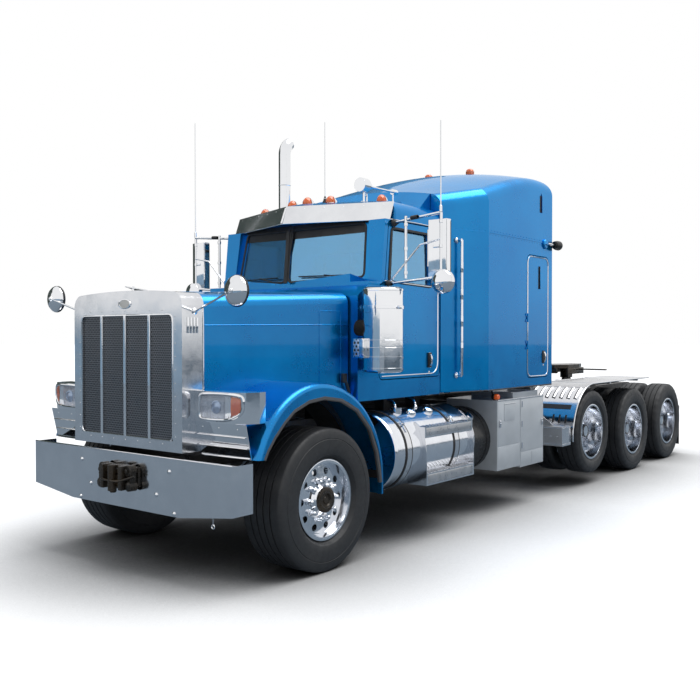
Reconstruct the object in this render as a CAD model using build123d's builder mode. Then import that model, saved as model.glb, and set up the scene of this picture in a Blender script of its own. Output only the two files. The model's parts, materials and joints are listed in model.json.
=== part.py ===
"""Semi truck tractor unit: long-nosed cab with a sleeper, one steered axle and three rear axles.

Millimetres. +X is the truck's left, +Y its rear, +Z up, and the ground is z = 0.
Stations are distances behind the front axle; sta() turns one into a y value.
"""
import os
from math import cos, radians, sin, sqrt

from build123d import *

os.makedirs("parts", exist_ok=True)

# ---- driving sizes: stations behind the front axle ---------------------------------------------
BUMPER_FACE = -930.0
HITCH_REACH = 125.0            # tow hitch, ahead of the bumper face
FLAP_REAR = 8200.0             # back of the mud flaps
FRONT_AXLE_Y = -(BUMPER_FACE - HITCH_REACH + FLAP_REAR) / 2

LIFT_AXLE = 4850.0
AXLE_SPACING = 1355.0
AXLE_RAISE = 125.0             # the lift axle's tyres are held this far off the ground

COWL_FRONT = 660.0
CAB_REAR = 1900.0
SLEEPER_FRONT = 1906.0
SLEEPER_SHOULDER = 2410.0      # where the slanted panel reaches full width
SLEEPER_REAR = 3800.0
SLEEPER_ROOF = (               # station, height along the middle, height at the side before its rounding
    (CAB_REAR, 3128, 2978), (2500, 3315, 3150), (3200, 3490, 3330), (SLEEPER_REAR + 50, 3518, 3350),
)
SLEEPER_ROUND = 140.0

# ---- driving sizes: widths and heights ---------------------------------------------------------
CAB_HALF = 945.0
SLEEPER_HALF = 1170.0
CAB_FLOOR = 1200.0
ROOF_TOP = 2935.0
WALL = 45.0
DOOR_THICK = 55.0
GAP = 8.0                      # all round a door
SEAT_GAP = 0.3                 # between pieces that rest on each other but move apart
PANE = 6.0
HINGE_OUT = 8.0                # door hinge's axis, outside the skin
HINGE_R = 6.5
HINGE_PIN_R = 3.0
HINGE_TALL = 30.0              # one barrel
HINGE_LEAF = 5.0
HINGE_LONG = 36.0

# ---- driving sizes: frame ----------------------------------------------------------------------
RAIL_HALF = 430.0
RAIL_FRONT = -500.0
RAIL_TOP = 1030.0
RAIL_HEIGHT = 270.0
RAIL_FLANGE = 88.0
RAIL_WEB = 9.0
RAIL_REAR = 8060.0
RAIL_BOTTOM = RAIL_TOP - RAIL_HEIGHT

# ---- driving sizes: wheels ---------------------------------------------------------------------
STEER_TYRE_R = 530.0
STEER_TYRE_W = 385.0
STEER_RIM_R = 298.5            # over the flange
STEER_WHEEL_X = 1000.0         # middle of the tyre
KINGPIN_X = 900.0
TWIN_TYRE_R = 527.0
LIFT_TYRE_R = 485.0            # the lift axle has lower tyres
TWIN_TYRE_W = 280.0
TWIN_RIM_R = 323.0
TYRE_SIDES = 24                # flats round a tyre
BEAD_RISE = 6.0                # where a tyre clears the rim's flange
TWIN_OUTER_X = 1081.0          # middle of the outer tyre
TWIN_SPACING = 343.0
RIM_BAR = 12.0                 # thickness of a rim's wall
LUG_COUNT = 10
LUG_CIRCLE_R = 142.9
SPINDLE_R = 40.0
AXLE_TUBE_R = 62.0

REAR_AXLES = (                 # name, station, tyre radius, height of the axle above the ground
    ("lift", LIFT_AXLE, LIFT_TYRE_R, LIFT_TYRE_R + AXLE_RAISE),
    ("mid", LIFT_AXLE + AXLE_SPACING, TWIN_TYRE_R, TWIN_TYRE_R),
    ("tail", LIFT_AXLE + 2 * AXLE_SPACING, TWIN_TYRE_R, TWIN_TYRE_R),
)
SIDES = (("left", 1), ("right", -1))


def sta(distance):
    """The y value of a station."""
    return FRONT_AXLE_Y + distance


def block(x0, x1, s0, s1, z0, z1, mode=Mode.ADD):
    """A plain block between two x values, two stations and two heights."""
    with Locations(((x0 + x1) / 2, sta((s0 + s1) / 2), (z0 + z1) / 2)):
        Box(abs(x1 - x0), abs(s1 - s0), abs(z1 - z0), mode=mode)


def rod(start, end, radius, mode=Mode.ADD):
    """A round bar between two points given as x, station, height."""
    a = Vector(start[0], sta(start[1]), start[2])
    b = Vector(end[0], sta(end[1]), end[2])
    middle = (a + b) * 0.5
    with Locations(Plane(origin=middle, z_dir=b - a)):
        Cylinder(radius, (b - a).length, mode=mode)


def side_plane(x):
    """A plane seen from the truck's left: local x runs rearwards from the front axle, local y up."""
    return Plane(origin=(x, FRONT_AXLE_Y, 0), x_dir=(0, 1, 0), z_dir=(1, 0, 0))


def front_plane(station):
    """A plane across the truck: local x is x, local y is up, and its normal looks forwards."""
    return Plane(origin=(0, sta(station), 0), x_dir=(1, 0, 0), z_dir=(0, -1, 0))


def plan_plane(z):
    """A level plane: local x is x, local y is the station."""
    return Plane(origin=(0, FRONT_AXLE_Y, z), x_dir=(1, 0, 0), z_dir=(0, 0, 1))


def wheel_plane(x, station, height, sign):
    """A plane through an axle: local x runs outwards along it from x, local y is the radius."""
    return Plane(origin=(sign * x, sta(station), height), x_dir=(sign, 0, 0), z_dir=(0, -sign, 0))


def crowned_slice(station, half, middle, edge, low):
    """An upright cross-section: straight sides and one arc over the top."""
    with BuildSketch(front_plane(station)) as section:
        with BuildLine():
            Polyline((-half, edge), (-half, low), (half, low), (half, edge))
            ThreePointArc((half, edge), (0, middle), (-half, edge))
        make_face()
    return section.sketch


def wedge_face(turn, profile):
    """A tyre's profile, given as across and radius, on a plane turned about the z axis."""
    angle = radians(turn)
    plane = Plane(origin=(0, 0, 0), x_dir=(cos(angle), sin(angle), 0), z_dir=(sin(angle), -cos(angle), 0))
    with BuildSketch(plane) as face:
        with BuildLine():
            Polyline(*((radius, across) for across, radius in profile), close=True)
        make_face()
    return face.sketch


def tyre_ring(radius, width, rim_radius, seat_radius, bead, shoulder):
    """A tyre round the x axis, made of flat-sided wedges; shoulder lists inset and drop from its corner."""
    half_turn = 180 / TYRE_SIDES
    bore = (seat_radius + SEAT_GAP) / cos(radians(half_turn))
    outer = [(bead, bore), (bead + 0.5, rim_radius + BEAD_RISE), (width / 2, rim_radius + 95)]
    outer += [(width / 2 - inset, radius - drop) for inset, drop in shoulder]
    profile = [(-across, height) for across, height in outer] + outer[::-1]
    with BuildPart() as wedge:
        loft([wedge_face(-half_turn, profile), wedge_face(half_turn, profile)], ruled=True)
    with BuildPart(Plane.YZ) as ring:
        with PolarLocations(0, TYRE_SIDES, start_angle=half_turn):
            add(wedge.part)
    return ring.part


def side_shape(x, points, radius=0, grow=0):
    """A closed outline on a side plane, with its corners rounded and its edge moved out by grow."""
    with BuildSketch(side_plane(x)) as shape:
        with BuildLine():
            Polyline(*points, close=True)
        make_face()
        if radius:
            fillet(shape.vertices(), radius=radius)
        if grow:
            offset(amount=grow, kind=Kind.ARC)
    return shape.sketch


def fixed_hinge(sign, skin, station, z):
    """A door hinge's fixed half on a side wall: a leaf, two barrels and the pin, at a height."""
    x = skin + HINGE_OUT
    near, far = HINGE_TALL / 2, 1.5 * HINGE_TALL
    for z0, z1 in ((z - far, z - near), (z + near, z + far)):
        rod((sign * x, station, z0), (sign * x, station, z1), HINGE_R)
        block(sign * skin, sign * (skin + HINGE_LEAF), station - HINGE_LONG, station, z0, z1)
    rod((sign * x, station, z - HINGE_TALL), (sign * x, station, z + HINGE_TALL), HINGE_PIN_R)


def moving_hinge(sign, skin, station, z):
    """The half that a door carries: a leaf and one barrel, bored for the pin."""
    x = skin + HINGE_OUT
    z0, z1 = z - HINGE_TALL / 2 + SEAT_GAP, z + HINGE_TALL / 2 - SEAT_GAP
    rod((sign * x, station, z0), (sign * x, station, z1), HINGE_R)
    block(sign * skin, sign * (skin + HINGE_LEAF), station, station + HINGE_LONG, z0, z1)
    rod((sign * x, station, z0 - 1), (sign * x, station, z1 + 1), HINGE_PIN_R + SEAT_GAP, mode=Mode.SUBTRACT)


def save(builder, label):
    """Names a finished piece and writes its STEP file."""
    builder.part.label = label
    export_step(builder.part, f"parts/{label}.step")


# ---- frame -------------------------------------------------------------------------------------
HORN_TOP = 872.0
HORN_BOTTOM = 660.0
HORN_THICK = 20.0
HORN_FRONT = BUMPER_FACE + 8.0
HORN_REAR = RAIL_FRONT + 150.0
HOOD_PIVOT = (-885.0, 700.0)    # station and height of the hood's hinge
HOOD_PIN_R = 15.0
CROSSMEMBERS = (-440.0, 900.0, 2200.0, 3500.0, 4200.0, 5500.0, 6850.0, 7980.0)
CROSS_WIDTH = 80.0
CROSS_MARGIN = 30.0
SLEEPER_LOW = 1210.0
BODY_MOUNTS = (                # station, height of what rests on it
    (750.0, CAB_FLOOR), (1750.0, CAB_FLOOR), (2260.0, SLEEPER_LOW), (3600.0, SLEEPER_LOW),
)
MOUNT_HALF = 50.0
MOUNT_OUT = 20.0

with BuildPart() as frame_rails:
    with BuildSketch(front_plane(RAIL_FRONT)):
        with BuildLine():
            Polyline(
                (RAIL_HALF, RAIL_BOTTOM),
                (RAIL_HALF, RAIL_TOP),
                (RAIL_HALF - RAIL_FLANGE, RAIL_TOP),
                (RAIL_HALF - RAIL_FLANGE, RAIL_TOP - RAIL_WEB),
                (RAIL_HALF - RAIL_WEB, RAIL_TOP - RAIL_WEB),
                (RAIL_HALF - RAIL_WEB, RAIL_BOTTOM + RAIL_WEB),
                (RAIL_HALF - RAIL_FLANGE, RAIL_BOTTOM + RAIL_WEB),
                (RAIL_HALF - RAIL_FLANGE, RAIL_BOTTOM),
                close=True,
            )
        make_face()
    extrude(amount=-(RAIL_REAR - RAIL_FRONT))
    block(RAIL_HALF - HORN_THICK, RAIL_HALF, HORN_FRONT, HORN_REAR, HORN_BOTTOM, HORN_TOP)
    mirror(about=Plane.YZ)
    for station in CROSSMEMBERS:
        reach = RAIL_HALF - SEAT_GAP - (HORN_THICK if station < HORN_REAR else RAIL_WEB)
        block(
            -reach, reach, station - CROSS_WIDTH / 2, station + CROSS_WIDTH / 2,
            RAIL_BOTTOM + CROSS_MARGIN, RAIL_TOP - CROSS_MARGIN,
        )
    for station, top in BODY_MOUNTS:
        for _, sign in SIDES:
            x0, x1 = sign * (RAIL_HALF - RAIL_FLANGE), sign * (RAIL_HALF + MOUNT_OUT)
            block(x0, x1, station - MOUNT_HALF, station + MOUNT_HALF, RAIL_TOP, top)
    reach = RAIL_HALF + 1
    rod((-reach, *HOOD_PIVOT), (reach, *HOOD_PIVOT), HOOD_PIN_R + SEAT_GAP, mode=Mode.SUBTRACT)
save(frame_rails, "frame_rails")

# ---- front bumper and tow hitch ----------------------------------------------------------------
BUMPER_HALF = 1145.0
BUMPER_TOP = 880.0
BUMPER_LOW = 480.0
BUMPER_END_LOW = 545.0
BUMPER_LOW_HALF = 620.0
BUMPER_RETURN = 190.0
BUMPER_SHEET = 8.0
HITCH_HALF = 190.0
HITCH_LOW = 615.0
HITCH_TOP = 800.0

with BuildPart() as bumper:
    with BuildSketch(front_plane(BUMPER_FACE + BUMPER_SHEET)):
        with BuildLine():
            Polyline(
                (-BUMPER_HALF, BUMPER_TOP), (BUMPER_HALF, BUMPER_TOP), (BUMPER_HALF, BUMPER_END_LOW),
                (BUMPER_LOW_HALF, BUMPER_LOW), (-BUMPER_LOW_HALF, BUMPER_LOW),
                (-BUMPER_HALF, BUMPER_END_LOW), close=True,
            )
        make_face()
    extrude(amount=BUMPER_SHEET)
    for _, sign in SIDES:
        block(
            sign * (BUMPER_HALF - BUMPER_SHEET), sign * BUMPER_HALF,
            BUMPER_FACE, BUMPER_FACE + BUMPER_RETURN, BUMPER_END_LOW, BUMPER_TOP,
        )
    block(-BUMPER_HALF, BUMPER_HALF, BUMPER_FACE, BUMPER_FACE + 50, BUMPER_TOP - BUMPER_SHEET, BUMPER_TOP)
    vertical = bumper.edges().filter_by(Axis.Z).group_by(Axis.Y)[0]
    fillet(vertical, radius=BUMPER_SHEET - 1)
save(bumper, "bumper")

with BuildPart() as tow_hitch:
    block(-90, 90, BUMPER_FACE - 20, BUMPER_FACE, HITCH_LOW, HITCH_TOP - 20)
    block(-70, 70, BUMPER_FACE - 80, BUMPER_FACE - 20, HITCH_LOW + 30, HITCH_TOP - 70)
    rod((-HITCH_HALF, BUMPER_FACE - 55, HITCH_TOP - 50), (HITCH_HALF, BUMPER_FACE - 55, HITCH_TOP - 50), 22)
    rod((0, BUMPER_FACE - 95, HITCH_LOW), (0, BUMPER_FACE - 95, HITCH_TOP), HITCH_REACH - 95)
    for _, sign in SIDES:
        block(
            sign * (HITCH_HALF - 50), sign * HITCH_HALF, BUMPER_FACE - 70, BUMPER_FACE,
            HITCH_LOW + 40, HITCH_TOP - 15,
        )
save(tow_hitch, "tow_hitch")

# ---- front axle, knuckles and wheels -----------------------------------------------------------
AXLE_Z = STEER_TYRE_R
BEAM_HALF_HEIGHT = 45.0
BEAM_HALF_WIDTH = 40.0
BEAM_DROP = 110.0
BEAM_END_R = 48.0
SPRING_X = 370.0
BEAM_BEND_X = KINGPIN_X - 150.0
BEAM_SEAT_X = SPRING_X + 120.0
SPRING_HALF_WIDTH = 40.0
SPRING_SPAN = 620.0
SPRING_SEAT = AXLE_Z + BEAM_HALF_HEIGHT - BEAM_DROP - 8
SPRING_THICK = 70.0
SPRING_RISE = 130.0
HUB_INNER_X = KINGPIN_X + 60.0
STEER_HALF_RIM = 160.0

with BuildPart() as front_axle:
    low, high = AXLE_Z - BEAM_HALF_HEIGHT, AXLE_Z + BEAM_HALF_HEIGHT
    for _, sign in SIDES:
        rod((sign * KINGPIN_X, 0, low), (sign * KINGPIN_X, 0, high), BEAM_END_R)
    with BuildSketch(front_plane(BEAM_HALF_WIDTH)):
        with BuildLine():
            Polyline(
                (-KINGPIN_X, high), (-BEAM_BEND_X, high), (-BEAM_SEAT_X, high - BEAM_DROP),
                (BEAM_SEAT_X, high - BEAM_DROP), (BEAM_BEND_X, high), (KINGPIN_X, high),
                (KINGPIN_X, low), (BEAM_BEND_X, low), (BEAM_SEAT_X, low - BEAM_DROP),
                (-BEAM_SEAT_X, low - BEAM_DROP), (-BEAM_BEND_X, low), (-KINGPIN_X, low),
                close=True,
            )
        make_face()
    extrude(amount=2 * BEAM_HALF_WIDTH)
    for _, sign in SIDES:
        rod(
            (sign * KINGPIN_X, 0, AXLE_Z - 100), (sign * KINGPIN_X, 0, AXLE_Z + 100),
            25 + SEAT_GAP, mode=Mode.SUBTRACT,
        )
    for _, sign in SIDES:
        with BuildSketch(side_plane(sign * SPRING_X - SPRING_HALF_WIDTH)):
            with BuildLine():
                ThreePointArc(
                    (-SPRING_SPAN, SPRING_SEAT + SPRING_RISE), (0, SPRING_SEAT),
                    (SPRING_SPAN, SPRING_SEAT + SPRING_RISE),
                )
                Line((SPRING_SPAN, SPRING_SEAT + SPRING_RISE), (SPRING_SPAN, RAIL_BOTTOM))
                Line((SPRING_SPAN, RAIL_BOTTOM), (SPRING_SPAN - 70, RAIL_BOTTOM))
                Line((SPRING_SPAN - 70, RAIL_BOTTOM), (SPRING_SPAN - 70, SPRING_SEAT + SPRING_RISE + 40))
                ThreePointArc(
                    (SPRING_SPAN - 70, SPRING_SEAT + SPRING_RISE + 40), (0, SPRING_SEAT + SPRING_THICK),
                    (70 - SPRING_SPAN, SPRING_SEAT + SPRING_RISE + 40),
                )
                Line((70 - SPRING_SPAN, SPRING_SEAT + SPRING_RISE + 40), (70 - SPRING_SPAN, RAIL_BOTTOM))
                Line((70 - SPRING_SPAN, RAIL_BOTTOM), (-SPRING_SPAN, RAIL_BOTTOM))
                Line((-SPRING_SPAN, RAIL_BOTTOM), (-SPRING_SPAN, SPRING_SEAT + SPRING_RISE))
            make_face()
        extrude(amount=2 * SPRING_HALF_WIDTH)
save(front_axle, "front_axle")


steer_ring = tyre_ring(
    STEER_TYRE_R, STEER_TYRE_W, STEER_RIM_R, STEER_RIM_R - 13, STEER_HALF_RIM - 14, ((20, 25), (45, 0)),
)


def steer_parts(sign, side):
    """One side's knuckle, rim and tyre of the steered axle."""
    with BuildPart() as knuckle:
        rod((sign * KINGPIN_X, 0, AXLE_Z - 95), (sign * KINGPIN_X, 0, AXLE_Z + 95), 25)
        clear = BEAM_HALF_HEIGHT + 1
        face = sign * (HUB_INNER_X - 2)
        for z0, z1 in ((AXLE_Z - 95, AXLE_Z - clear), (AXLE_Z + clear, AXLE_Z + 95)):
            rod((sign * KINGPIN_X, 0, z0), (sign * KINGPIN_X, 0, z1), BEAM_END_R)
            block(sign * KINGPIN_X, face, -45, 45, z0, z1)
        block(sign * (KINGPIN_X + BEAM_END_R + 1), face, -45, 45, AXLE_Z - 95, AXLE_Z + 95)
        rod((sign * (HUB_INNER_X - 2), 0, AXLE_Z), (sign * (STEER_WHEEL_X + 70), 0, AXLE_Z), SPINDLE_R)
    save(knuckle, f"knuckle_{side}")

    with BuildPart() as rim:
        with BuildSketch(wheel_plane(STEER_WHEEL_X, 0, AXLE_Z, sign)):
            with BuildLine():
                Polyline(
                    (-STEER_HALF_RIM, STEER_RIM_R), (-STEER_HALF_RIM + 12, STEER_RIM_R),
                    (-STEER_HALF_RIM + 14, STEER_RIM_R - 13), (STEER_HALF_RIM - 14, STEER_RIM_R - 13),
                    (STEER_HALF_RIM - 12, STEER_RIM_R), (STEER_HALF_RIM, STEER_RIM_R),
                    (STEER_HALF_RIM, STEER_RIM_R - 13 - RIM_BAR),
                    (STEER_HALF_RIM - 60, STEER_RIM_R - 13 - RIM_BAR - 16),
                    (STEER_HALF_RIM - 45, 115), (STEER_HALF_RIM - 10, 85), (STEER_HALF_RIM + 10, 80),
                    (STEER_HALF_RIM + 10, 60), (STEER_HALF_RIM - 40, 60),
                    (STEER_HALF_RIM - 40, SPINDLE_R + SEAT_GAP),
                    (HUB_INNER_X - STEER_WHEEL_X, SPINDLE_R + SEAT_GAP), (HUB_INNER_X - STEER_WHEEL_X, 95),
                    (STEER_HALF_RIM - 75, 110), (STEER_HALF_RIM - 85, STEER_RIM_R - 13 - RIM_BAR - 26),
                    (-STEER_HALF_RIM, STEER_RIM_R - 13 - RIM_BAR), close=True,
                )
            make_face()
        revolve(axis=Axis((0, sta(0), AXLE_Z), (1, 0, 0)))
        for count, radius, size, x0, x1, mode in (
            (10, 212, 26, 40, STEER_HALF_RIM + 5, Mode.SUBTRACT),
            (LUG_COUNT, LUG_CIRCLE_R, 17, STEER_HALF_RIM - 70, STEER_HALF_RIM - 5, Mode.ADD),
        ):
            for turn in range(count):
                angle = radians(360 / count * turn)
                y, z = radius * cos(angle), AXLE_Z + radius * sin(angle)
                rod((sign * (STEER_WHEEL_X + x0), y, z), (sign * (STEER_WHEEL_X + x1), y, z), size, mode=mode)
    save(rim, f"rim_front_{side}")

    with BuildPart() as tyre:
        with Locations((sign * STEER_WHEEL_X, sta(0), AXLE_Z)):
            add(steer_ring)
    save(tyre, f"tyre_front_{side}")


for side, sign in SIDES:
    steer_parts(sign, side)

# ---- rear axles and twin wheels ----------------------------------------------------------------
TWIN_HALF_RIM = 118.0
TWIN_MIDDLE_X = TWIN_OUTER_X - TWIN_SPACING / 2
DISC = 14.0
HUB_REACH = 1120.0


def twin_parts(name, station, radius, height, sign, side):
    """One side's twin rims and twin tyres of a rear axle."""
    face = TWIN_MIDDLE_X
    with BuildPart() as rims:
        with BuildSketch(wheel_plane(face, station, height, sign)):
            with BuildLine():
                far = TWIN_SPACING / 2 + TWIN_HALF_RIM
                near = TWIN_SPACING / 2 - TWIN_HALF_RIM
                seat = TWIN_RIM_R - 12
                inside = seat - RIM_BAR
                tube = AXLE_TUBE_R + SEAT_GAP
                Polyline(
                    (far, TWIN_RIM_R), (far, inside), (near, inside - 12), (DISC, 240), (DISC, 110),
                    (HUB_REACH - face - 60, 105), (HUB_REACH - face - 50, 80), (HUB_REACH - face, 75),
                    (HUB_REACH - face, 0), (100, 0), (100, tube), (-160, tube), (-160, 100), (-DISC, 110),
                    (-DISC, 240), (-near, inside - 12), (-far, inside), (-far, TWIN_RIM_R),
                    (-far + 12, TWIN_RIM_R),
                    (-far + 13, seat), (-near - 13, seat), (-near - 12, TWIN_RIM_R), (-near, TWIN_RIM_R),
                    (-near, inside + 4), (0, 252), (near, inside + 4), (near, TWIN_RIM_R),
                    (near + 12, TWIN_RIM_R),
                    (near + 13, seat), (far - 13, seat), (far - 12, TWIN_RIM_R), close=True,
                )
            make_face()
        revolve(axis=Axis((0, sta(station), height), (1, 0, 0)))
        for count, circle, size, x0, x1, mode in (
            (10, 200, 28, -60, 60, Mode.SUBTRACT),
            (LUG_COUNT, LUG_CIRCLE_R, 17, DISC - 5, DISC + 55, Mode.ADD),
        ):
            for turn in range(count):
                angle = radians(360 / count * turn)
                s, z = station + circle * cos(angle), height + circle * sin(angle)
                rod((sign * (face + x0), s, z), (sign * (face + x1), s, z), size, mode=mode)
    save(rims, f"rims_{name}_{side}")

    with BuildPart() as tyres:
        for middle in (TWIN_OUTER_X, TWIN_OUTER_X - TWIN_SPACING):
            with Locations((sign * middle, sta(station), height)):
                add(twin_rings[radius])
    save(tyres, f"tyres_{name}_{side}")


twin_rings = {
    radius: tyre_ring(radius, TWIN_TYRE_W, TWIN_RIM_R, TWIN_RIM_R - 12, TWIN_HALF_RIM - 13, ((18, 0),))
    for radius in (LIFT_TYRE_R, TWIN_TYRE_R)
}

for name, station, radius, height in REAR_AXLES:
    for side, sign in SIDES:
        twin_parts(name, station, radius, height, sign, side)

AIR_SPRING_R = 115.0
AIR_SPRING_X = 386.0
AIR_SPRING_BACK = 190.0        # behind the axle
AXLE_BOWL_R = 215.0
ARM_LENGTH = 560.0
ARM_TALL = 60.0
HANGER_LONG = 90.0
AXLE_END_X = TWIN_MIDDLE_X + 90.0

with BuildPart() as rear_axles:
    for name, station, _, height in REAR_AXLES:
        rod((-AXLE_END_X, station, height), (AXLE_END_X, station, height), AXLE_TUBE_R)
        if name != "lift":
            rod((-110, station, height), (110, station, height), AXLE_BOWL_R)
        top = height - AXLE_TUBE_R - SEAT_GAP
        front = station - ARM_LENGTH
        spring = station + AIR_SPRING_BACK
        for _, sign in SIDES:
            x = sign * AIR_SPRING_X
            block(x - 44, x + 44, front, front + HANGER_LONG, top - ARM_TALL, RAIL_BOTTOM)
            block(x - 40, x + 40, front + HANGER_LONG + SEAT_GAP, spring + 60, top - ARM_TALL, top)
            rod((x, spring, top + SEAT_GAP), (x, spring, RAIL_BOTTOM), AIR_SPRING_R)
save(rear_axles, "rear_axles")

# ---- engine and radiator -----------------------------------------------------------------------
ENGINE_HALF = 300.0
ENGINE_FRONT = -390.0
ENGINE_REAR = 630.0
ENGINE_LOW = 790.0
ENGINE_TOP = 1700.0
ENGINE_MOUNTS = (-250.0, 450.0)
RADIATOR_HALF = 500.0
RADIATOR_FRONT = -680.0
RADIATOR_THICK = 90.0
RADIATOR_TOP = 1860.0

with BuildPart() as engine:
    block(-ENGINE_HALF, ENGINE_HALF, ENGINE_FRONT, ENGINE_REAR, ENGINE_LOW, ENGINE_TOP)
    for station in ENGINE_MOUNTS:
        web = RAIL_HALF - RAIL_WEB
        block(-web, web, station, station + 120, ENGINE_LOW + 60, ENGINE_LOW + 140)
    block(
        -RADIATOR_HALF, RADIATOR_HALF, RADIATOR_FRONT, RADIATOR_FRONT + RADIATOR_THICK,
        HORN_TOP + SEAT_GAP, RADIATOR_TOP,
    )
save(engine, "engine")

# ---- hood with its fenders ---------------------------------------------------------------------
HOOD_FRONT = -705.0
HOOD_REAR = COWL_FRONT - 20.0
HOOD_FRONT_HALF = 612.0
HOOD_REAR_HALF = 860.0
HOOD_FRONT_TOP = 2030.0
HOOD_REAR_TOP = 2085.0
HOOD_CROWN = 30.0
HOOD_CORNER = 90.0
HOOD_LOW = 1080.0
HOOD_SHEET = 14.0
FENDER_HALF = 1190.0
FENDER_LIP = 40.0
FENDER_ROUND = 36.0
FENDER_WELL_X = HOOD_REAR_HALF + 20.0

FENDER_OUTER = ((-727, 900), (-90, 1390), (700, 600))    # front end, crest and rear of the outer edge
FENDER_ARCH = ((-668, 900), (-30, 1285), (655, 560))     # the same of the wheel arch
FENDER_WELL = ((-695, 900), (-90, 1362), (676, 600))     # the same of the hollow behind the lip
FENDER_TAIL = 480.0
NOSE_HALF = 630.0              # the fenders stay outside this ahead of the hood
TAIL_HALF = HOOD_REAR_HALF - 20.0     # and outside this behind it


def hood_section(station, half, top, low, inset):
    """A hood cross-section: square below, with rounded shoulders and a crowned top."""
    side = half - inset
    crest = top - inset
    slack = HOOD_CORNER * (1 - sqrt(0.5))
    with BuildSketch(front_plane(station)) as section:
        with BuildLine():
            Polyline((-side, crest - HOOD_CORNER), (-side, low), (side, low), (side, crest - HOOD_CORNER))
            flat, bend = side - HOOD_CORNER, crest - HOOD_CORNER
            ThreePointArc((side, bend), (side - slack, crest - slack), (flat, crest))
            ThreePointArc((flat, crest), (0, crest + HOOD_CROWN), (-flat, crest))
            ThreePointArc((-flat, crest), (slack - side, crest - slack), (-side, bend))
        make_face()
    return section.sketch


def fender_face(x, outline, low):
    """A fender's side outline at an x: two arcs that meet level at the crest, then straight down."""
    start, crest, end = outline
    with BuildSketch(side_plane(x)) as face:
        with BuildLine():
            TangentArc(crest, start, tangent=(-1, 0))
            TangentArc(crest, end, tangent=(1, 0))
            Polyline(end, (end[0], low), (0, low), (0, start[1]), start)
        make_face()
    return face.sketch


with BuildPart() as hood:
    loft([
        hood_section(HOOD_FRONT, HOOD_FRONT_HALF, HOOD_FRONT_TOP, HOOD_LOW, 0),
        hood_section(HOOD_REAR, HOOD_REAR_HALF, HOOD_REAR_TOP, HOOD_LOW, 0),
    ], ruled=True)
    extrude(to_extrude=fender_face(-FENDER_HALF, FENDER_OUTER, FENDER_TAIL), amount=2 * FENDER_HALF)
    rims = hood.edges().filter_by(GeomType.CIRCLE).filter_by(
        lambda edge: abs(abs(edge.center().X) - FENDER_HALF) < 1
    )
    rims += hood.edges().filter_by(Axis.Z).filter_by(
        lambda edge: abs(abs(edge.center().X) - FENDER_HALF) < 1 and edge.center().Y > sta(FENDER_ARCH[2][0])
    )
    fillet(rims, radius=FENDER_ROUND)
    loft([
        hood_section(HOOD_FRONT - 1, HOOD_FRONT_HALF, HOOD_FRONT_TOP, 0, HOOD_SHEET),
        hood_section(HOOD_REAR + 1, HOOD_REAR_HALF, HOOD_REAR_TOP, 0, HOOD_SHEET),
    ], ruled=True, mode=Mode.SUBTRACT)
    extrude(
        to_extrude=fender_face(-FENDER_HALF - 1, FENDER_ARCH, 0),
        amount=2 * FENDER_HALF + 2, mode=Mode.SUBTRACT,
    )
    for _, sign in SIDES:
        extrude(
            to_extrude=fender_face(sign * FENDER_WELL_X, FENDER_WELL, 0),
            amount=sign * (FENDER_HALF - FENDER_LIP - FENDER_WELL_X), mode=Mode.SUBTRACT,
        )
    block(-NOSE_HALF, NOSE_HALF, HOOD_FRONT - 100, HOOD_FRONT, 0, HOOD_FRONT_TOP, mode=Mode.SUBTRACT)
    block(-TAIL_HALF, TAIL_HALF, HOOD_REAR, HOOD_REAR + 100, 0, HOOD_REAR_TOP, mode=Mode.SUBTRACT)
save(hood, "hood")

# ---- grille shell, screen, lamps and small mirrors on the hood ---------------------------------
GRILLE_FACE = -905.0
GRILLE_HALF = 628.0
GRILLE_LOW = 922.0
GRILLE_TOP = 2042.0
GRILLE_SHEET = 12.0
GRILLE_CORNER = 95.0
OPENING_HALF = 530.0
OPENING_LOW = 1000.0
OPENING_TOP = 1885.0
OPENING_CORNER = 45.0
OPENING_CROWN = 5.0
GRILLE_CROWN = 20.0
GRILLE_BARS = (-278.0, 0.0, 278.0)
GRILLE_BAR_HALF = 14.0
SCREEN_STATION = GRILLE_FACE + GRILLE_SHEET
SCREEN_THICK = 6.0
HOOD_ARM_THICK = 14.0
HOOD_ARM_TOP = GRILLE_LOW + 2 - HOOD_PIVOT[1]
HOOD_ARM = (                   # hinge arm's outline from the pivot, rearwards and up, round the bumper's top
    (-22, -22), (210, -22), (235, 0), (188, HOOD_ARM_TOP), (158, HOOD_ARM_TOP), (200, 22), (-22, 22),
)


def grille_outline(station, half, low, top, corner, crown):
    """An upright oblong with rounded top corners and a crowned top edge."""
    slack = corner * (1 - sqrt(0.5))
    with BuildSketch(front_plane(station)) as outline:
        with BuildLine():
            Polyline((-half, top - corner), (-half, low), (half, low), (half, top - corner))
            ThreePointArc((half, top - corner), (half - slack, top - slack), (half - corner, top))
            ThreePointArc((half - corner, top), (0, top + crown), (corner - half, top))
            ThreePointArc((corner - half, top), (slack - half, top - slack), (-half, top - corner))
        make_face()
    return outline.sketch


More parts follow.
